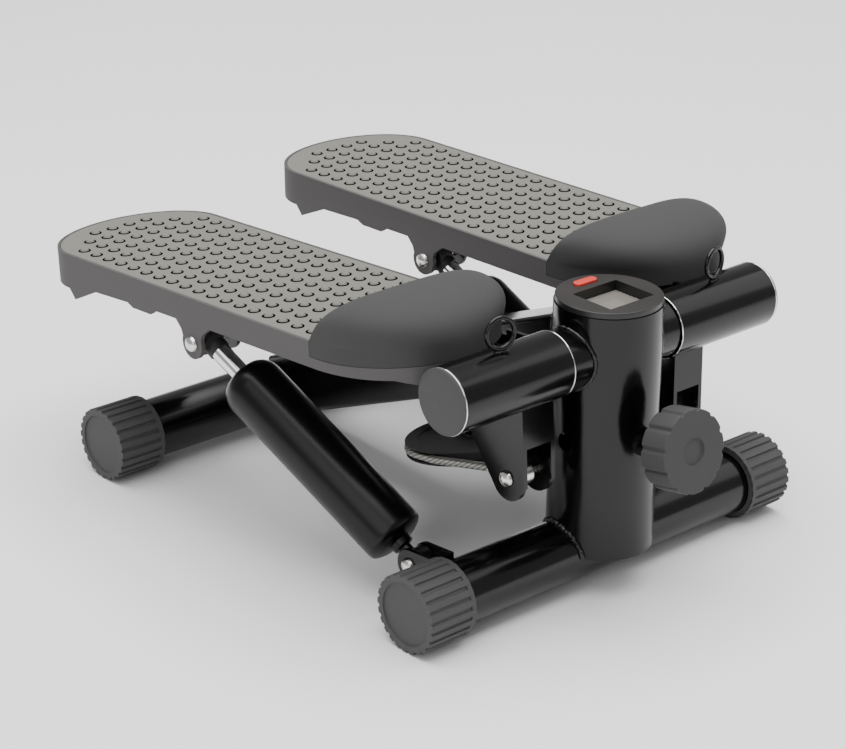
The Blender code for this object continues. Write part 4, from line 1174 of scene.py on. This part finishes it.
def bracket_outline():
    """Side outline of the cable bracket."""
    outline = [(-0.0085, -0.030), (-0.0085, -0.0720)]
    outline += arc((0.0066, -0.0690), 0.0142, 190, 318, 24)
    outline += [(0.0383, -0.0462), (0.0605, -0.0183), (0.066, -0.008), (0.066, 0.0182), (0.0120, 0.0182)]
    return outline + [(0.004, 0.0), (-0.0085, -0.015)]


def build_brackets():
    """Cable brackets, the fittings on the cable's ends, and their bolts."""
    low, high = BRACKET_PLATES[0][0], BRACKET_PLATES[1][1]
    inner_low, inner_high = BRACKET_PLATES[0][1], BRACKET_PLATES[1][0]
    line = Matrix.Translation((0, *CABLE_PIN)) @ ALONG_X
    for side in SIDES:
        place = pedal_frame(side)
        body = f"{side}_pedal"
        bracket = cut(
            prism(bracket_outline(), low, high, ALONG_X),
            block((inner_low, -0.0055, -0.1), (inner_high, 0.1, 0.05)),
            block((inner_low, -0.02, -0.1), (inner_high, 0.1, -0.046)),
            cylinder(SLEEVE_RADIUS + GAP, 0.03, 0.15, ALONG_X),
            cup_band(),
        cylinder(PIN_RADIUS + GAP, 0.03, 0.15, line, SMALL),
        )
        side_piece(side, "bracket", bracket, "gloss_black_paint", body, "cable_bracket", place, bevel=0.0007)
        bolts = (("cable_bolt", dome_bolt(low - 0.0075, high + GAP, line)),
                 ("cable_nut", hex_nut(low - GAP - 0.005, low - GAP, line)))
        for name, mesh in bolts:
            side_piece(side, name, mesh, "zinc_plate", body, place=place, bevel=0.0003)
        to_pedal = place.inverted()
        pin, end = (to_pedal @ p for p in cable_anchor(side))
        pin.x, end.x = abs(pin.x), abs(end.x)
        ahead = (end - pin).normalized()
        length = CABLE_END_LENGTH
        fitting = join(
            sweep([pin + ahead * 0.004, pin + ahead * (length - 0.011)], 0.0030, 24),
            sweep([pin + ahead * (length - 0.0125), pin + ahead * length], 0.0043, 24),
            cylinder(0.0075, CABLE_END_X - 0.0028, CABLE_END_X + 0.0028, line, SMALL),
        )
        fitting = cut(fitting, cylinder(PIN_RADIUS + GAP, 0.03, 0.15, line, SMALL))
        side_piece(side, "cable_end", fitting, "zinc_plate", body, place=place, bevel=0.0004)


def build_upper_mounts():
    """Inner lugs, and the bolts and nuts of the upper damper pivots."""
    line = Matrix.Translation((0, *UPPER_PIN)) @ ALONG_X
    outline = [(0.2035, 0.0182), (0.2042, 0.0)]
    outline += arc(UPPER_PIN, 0.0105, 158, 382, 32)
    outline += [(0.2268, 0.0), (0.2275, 0.0182)]
    face = PEDAL_X + PEDAL_HALF + GAP
    inner = INNER_LUG_X[0] - GAP
    for side in SIDES:
        place = pedal_frame(side)
        body = f"{side}_pedal"
        lug = cut(prism(outline, *INNER_LUG_X, ALONG_X), cylinder(PIN_RADIUS + GAP, 0.1, 0.2, line, SMALL))
        side_piece(side, "inner_lug", twin(lug, side), "gloss_black_paint", body, place=place, bevel=0.0004)
        bolts = (("upper_bolt", twin(dome_bolt(inner - 0.0075, face, line), side)),
                 ("upper_nut", twin(hex_nut(inner - 0.005, inner, line), side)))
        for name, mesh in bolts:
            side_piece(side, name, mesh, "zinc_plate", body, place=place, bevel=0.0003)


def build_dampers():
    """Damper bodies, rods, rod ends and the clevises that hold them."""
    for side in SIDES:
        lower, upper = damper_ends(side)
        lower.x, upper.x = LOWER_EYE_X[side], UPPER_EYE_X
        ahead = (upper - lower).normalized()
        across = (Vector((1, 0, 0)) - ahead * ahead.x).normalized()
        turn = Matrix((across, ahead.cross(across), ahead)).transposed().to_4x4()
        length = (upper - lower).length
        place = Matrix.Translation((0, lower.y, lower.z))
        start = Matrix.Translation((lower.x, 0, 0)) @ turn
        top = length - DAMPER_TOP
        bore = ROD_RADIUS + GAP
        profile = [(0, 0.004), (0.0038, 0.004), (0.0038, 0.0132), (0.0072, 0.0142), (0.0078, 0.0182)]
        profile += [(0.0125, 0.0188), (0.0150, 0.0194), (0.0180, 0.0208), (0.0198, 0.0222), (0.0205, 0.0235)]
        profile += [(DAMPER_RADIUS, 0.0252), (DAMPER_RADIUS, top - 0.0145)]
        neck = 0.0095
        for i in range(1, 9):
            turned = math.radians(80 * i / 8)
            radius = neck + (DAMPER_RADIUS - neck) * math.cos(turned)
            profile.append((radius, top - 0.0145 + 0.0140 * math.sin(turned)))
        profile += [(0.0100, top), (bore, top), (bore, BORE_FOOT), (0, BORE_FOOT)]
        half = EYE_WIDTH / 2
        lower_eye = Matrix.Translation((lower.x, 0, 0)) @ ALONG_X
        body = cut(
            join(revolve(profile, 128, start), cylinder(0.0095, -half, half, lower_eye, 64)),
            cylinder(PIN_RADIUS + GAP, -0.02, 0.02, lower_eye, SMALL),
        )
        side_piece(side, "damper_body", twin(body, side), "damper_black", f"{side}_damper", place=place)
        rod = cylinder(ROD_RADIUS, ROD_FOOT, length - 0.0117, start, 64)
        side_piece(side, "damper_rod", twin(rod, side), "chrome", f"{side}_rod", place=place)
        offset = upper - lower
        upper_eye = Matrix.Translation((upper.x, offset.y, offset.z)) @ ALONG_X
        rod_end = cut(
            join(
                cylinder(0.0075, length - 0.0114, length - 0.005, start, SMALL),
                cylinder(0.0095, -half, half, upper_eye, 64),
            ),
            cylinder(PIN_RADIUS + UPPER_EYE_PLAY, -0.02, 0.02, upper_eye, SMALL),
        )
        rod_end = twin(rod_end, side)
        side_piece(side, "rod_end", rod_end, "bush_rubber", f"{side}_rod", place=place, bevel=0.0004)
        build_clevis(side)


def build_clevis(side):
    """One clevis on the front tube, with its bolt and nut."""
    y, z = LOWER_EYE
    tube_back = FRONT_TUBE_Y + TUBE_RADIUS
    outline = [(tube_back - 0.004, z - 0.019), (y, z - 0.011)]
    outline += arc((y, z), 0.011, -80, 80, 24)
    outline += [(y, z + 0.011), (tube_back - 0.004, z + 0.013)]
    line = Matrix.Translation((0, y, z)) @ ALONG_X
    low, slot_low, slot_high, high = (LOWER_EYE_X[side] + x for x in CLEVIS_PLATES)
    clevis = cut(
        prism(outline, low, high, ALONG_X),
        cylinder(TUBE_RADIUS + GAP, 0.09, 0.14, x_axis_at(FRONT_TUBE_Y, TUBE_Z)),
        block((slot_low, tube_back + 0.004, 0), (slot_high, y + 0.05, 0.1)),
        cylinder(PIN_RADIUS + GAP, 0.09, 0.14, line, SMALL),
    )
    side_piece(side, "clevis", twin(clevis, side), "gloss_black_paint", "frame", bevel=0.0005)
    bolts = (("lower_bolt", twin(dome_bolt(low - 0.0075, high + GAP, line), side)),
             ("lower_nut", twin(hex_nut(low - GAP - 0.005, low - GAP, line), side)))
    for name, mesh in bolts:
        side_piece(side, name, mesh, "zinc_plate", "frame", bevel=0.0003)


def build_stage():
    """Pale floor, soft lights and the camera."""
    sizes = bpy.context.scene.stepper
    mesh = bmesh.new()
    bmesh.ops.create_grid(mesh, x_segments=1, y_segments=1, size=12.0)
    floor = as_object(mesh, "floor")
    floor.location.z = -0.0002
    pale = surface("floor_pale", (0.86, 0.86, 0.86), 0.75, mottle=0.01, patch=2.0, relief=0.02)
    floor.data.materials.append(pale)
    for name, energy, size, spot, target in (
        ("overhead", sizes.key_power, 3.2, (0.0, 0.1, 2.6), (0.0, 0.0, 0.0)),
        ("left_soft", sizes.key_power * 0.14, 2.0, (-2.4, -1.2, 1.5), (0.0, 0.0, 0.1)),
        ("right_soft", sizes.key_power * 0.10, 2.0, (2.4, -0.8, 1.6), (0.0, 0.0, 0.1)),
    ):
        data = bpy.data.lights.new(name, "AREA")
        data.energy = energy
        data.size = size
        light = bpy.data.objects.new(name, data)
        light.location = spot
        light.rotation_euler = (Vector(target) - Vector(spot)).to_track_quat("-Z", "Y").to_euler()
        bpy.context.collection.objects.link(light)
    world = bpy.data.worlds.new("studio")
    world.use_nodes = True
    world.node_tree.nodes["Background"].inputs["Color"].default_value = (1.0, 1.0, 1.0, 1.0)
    world.node_tree.nodes["Background"].inputs["Strength"].default_value = sizes.room_light
    bpy.context.scene.world = world
    data = bpy.data.cameras.new("camera")
    data.lens = 105.98
    data.sensor_width = 36.0
    camera = bpy.data.objects.new("camera", data)
    yaw, pitch, roll = (math.radians(a) for a in (-41.733, 23.309, 0.692))
    back = Vector((math.sin(yaw) * math.cos(pitch), -math.cos(yaw) * math.cos(pitch), math.sin(pitch)))
    right = Vector((math.cos(yaw), math.sin(yaw), 0))
    up = back.cross(right)
    across = right * math.cos(roll) + up * math.sin(roll)
    above = up * math.cos(roll) - right * math.sin(roll)
    turn = Matrix((across, above, back)).transposed().to_4x4()
    camera.matrix_world = Matrix.Translation((-1.04888, POST_Y - 1.00167, 0.76398)) @ turn
    bpy.context.collection.objects.link(camera)
    bpy.context.scene.camera = camera


def coat_frame():
    """Gives each CAD node that is still shown a procedural finish."""
    for name, node in frame["nodes"].items():
        if not node.hide_render:
            node.data.materials.clear()
            node.data.materials.append(finish("zinc_plate" if name == "axle" else "gloss_black_paint"))


# Add-on ---------------------------------------------------------------------------------------

class StepperSettings(bpy.types.PropertyGroup):
    """Sizes, colours and light that a user would change."""

    paint_colour: bpy.props.FloatVectorProperty(
        name="Paint", description="Colour of the black paint",
        subtype="COLOR", default=(0.0015, 0.0015, 0.0015),
    )
    paint_roughness: bpy.props.FloatProperty(
        name="Paint roughness", description="How soft the paint's reflections are", default=0.17, min=0, max=1
    )
    plastic_colour: bpy.props.FloatVectorProperty(
        name="Plastic", description="Colour of the end caps", subtype="COLOR", default=(0.008, 0.008, 0.0077)
    )
    tread_colour: bpy.props.FloatVectorProperty(
        name="Tread", description="Colour of the tread rubber",
        subtype="COLOR", default=(0.026, 0.0255, 0.0235),
    )
    nub_pitch: bpy.props.FloatProperty(
        name="Nub pitch", description="Distance between nubs", unit="LENGTH", default=0.0146
    )
    nub_radius: bpy.props.FloatProperty(
        name="Nub radius", description="Radius of a nub's dome", unit="LENGTH", default=0.0031
    )
    nub_height: bpy.props.FloatProperty(
        name="Nub height", description="Height of a nub's dome", unit="LENGTH", default=0.0016
    )
    key_power: bpy.props.FloatProperty(
        name="Key light", description="Power of the overhead light", unit="POWER", default=170.0
    )
    room_light: bpy.props.FloatProperty(
        name="Room light", description="Strength of the light from all round", default=0.45
    )


def operator(name, label, text, build):
    """Makes the operator class for one group of pieces."""
    def execute(self, context):
        build()
        return {"FINISHED"}
    return type(f"STEPPER_OT_{name}", (bpy.types.Operator,), {
        "bl_idname": f"stepper.{name}", "bl_label": label, "__doc__": text, "execute": execute,
    })


STEPS = (
    ("tubes", "Floor tubes", "Builds the floor tubes and ribbed end caps", build_tubes),
    ("post", "Post", "Builds the post, its collars and welds", build_post),
    ("beam", "Main beam", "Builds the sloping beam and its weld", build_beam),
    ("display", "Display", "Builds the display housing, lens and button", build_display),
    ("knob", "Tension knob", "Builds the knob, its screw and boss", build_knob),
    ("pulley", "Pulley", "Builds the pulley, yoke and pin", build_pulley),
    ("cable", "Cable", "Builds the wire rope", build_cable),
    ("pedals", "Pedals", "Builds the pans, treads, nubs and toe cups", build_pedals),
    ("sleeves", "Sleeves", "Builds the sleeves, domes and eye loops", build_sleeves),
    ("brackets", "Cable brackets", "Builds the cable brackets and their fittings", build_brackets),
    ("upper_mounts", "Upper pivots", "Builds the upper damper pivots", build_upper_mounts),
    ("dampers", "Dampers", "Builds the dampers and their clevises", build_dampers),
    ("stage", "Stage", "Makes the floor, lights and camera", build_stage),
)
OPERATORS = [operator(*step) for step in STEPS]


class STEPPER_PT_panel(bpy.types.Panel):
    """Lists the stepper's settings and its building steps."""

    bl_label = "Stepper"
    bl_space_type = "VIEW_3D"
    bl_region_type = "UI"
    bl_category = "Stepper"

    def draw(self, context):
        for name in StepperSettings.__annotations__:
            self.layout.prop(context.scene.stepper, name)
        for name, *_ in STEPS:
            self.layout.operator(f"stepper.{name}")


def register():
    for kind in (StepperSettings, *OPERATORS, STEPPER_PT_panel):
        bpy.utils.register_class(kind)
    bpy.types.Scene.stepper = bpy.props.PointerProperty(type=StepperSettings)


def unregister():
    del bpy.types.Scene.stepper
    for kind in reversed((StepperSettings, *OPERATORS, STEPPER_PT_panel)):
        bpy.utils.unregister_class(kind)


def main():
    """Builds every group of pieces and writes the two boxes to compare."""
    register()
    for name, *_ in STEPS:
        getattr(bpy.ops.stepper, name)()
    coat_frame()


if __name__ == "__main__":
    main()
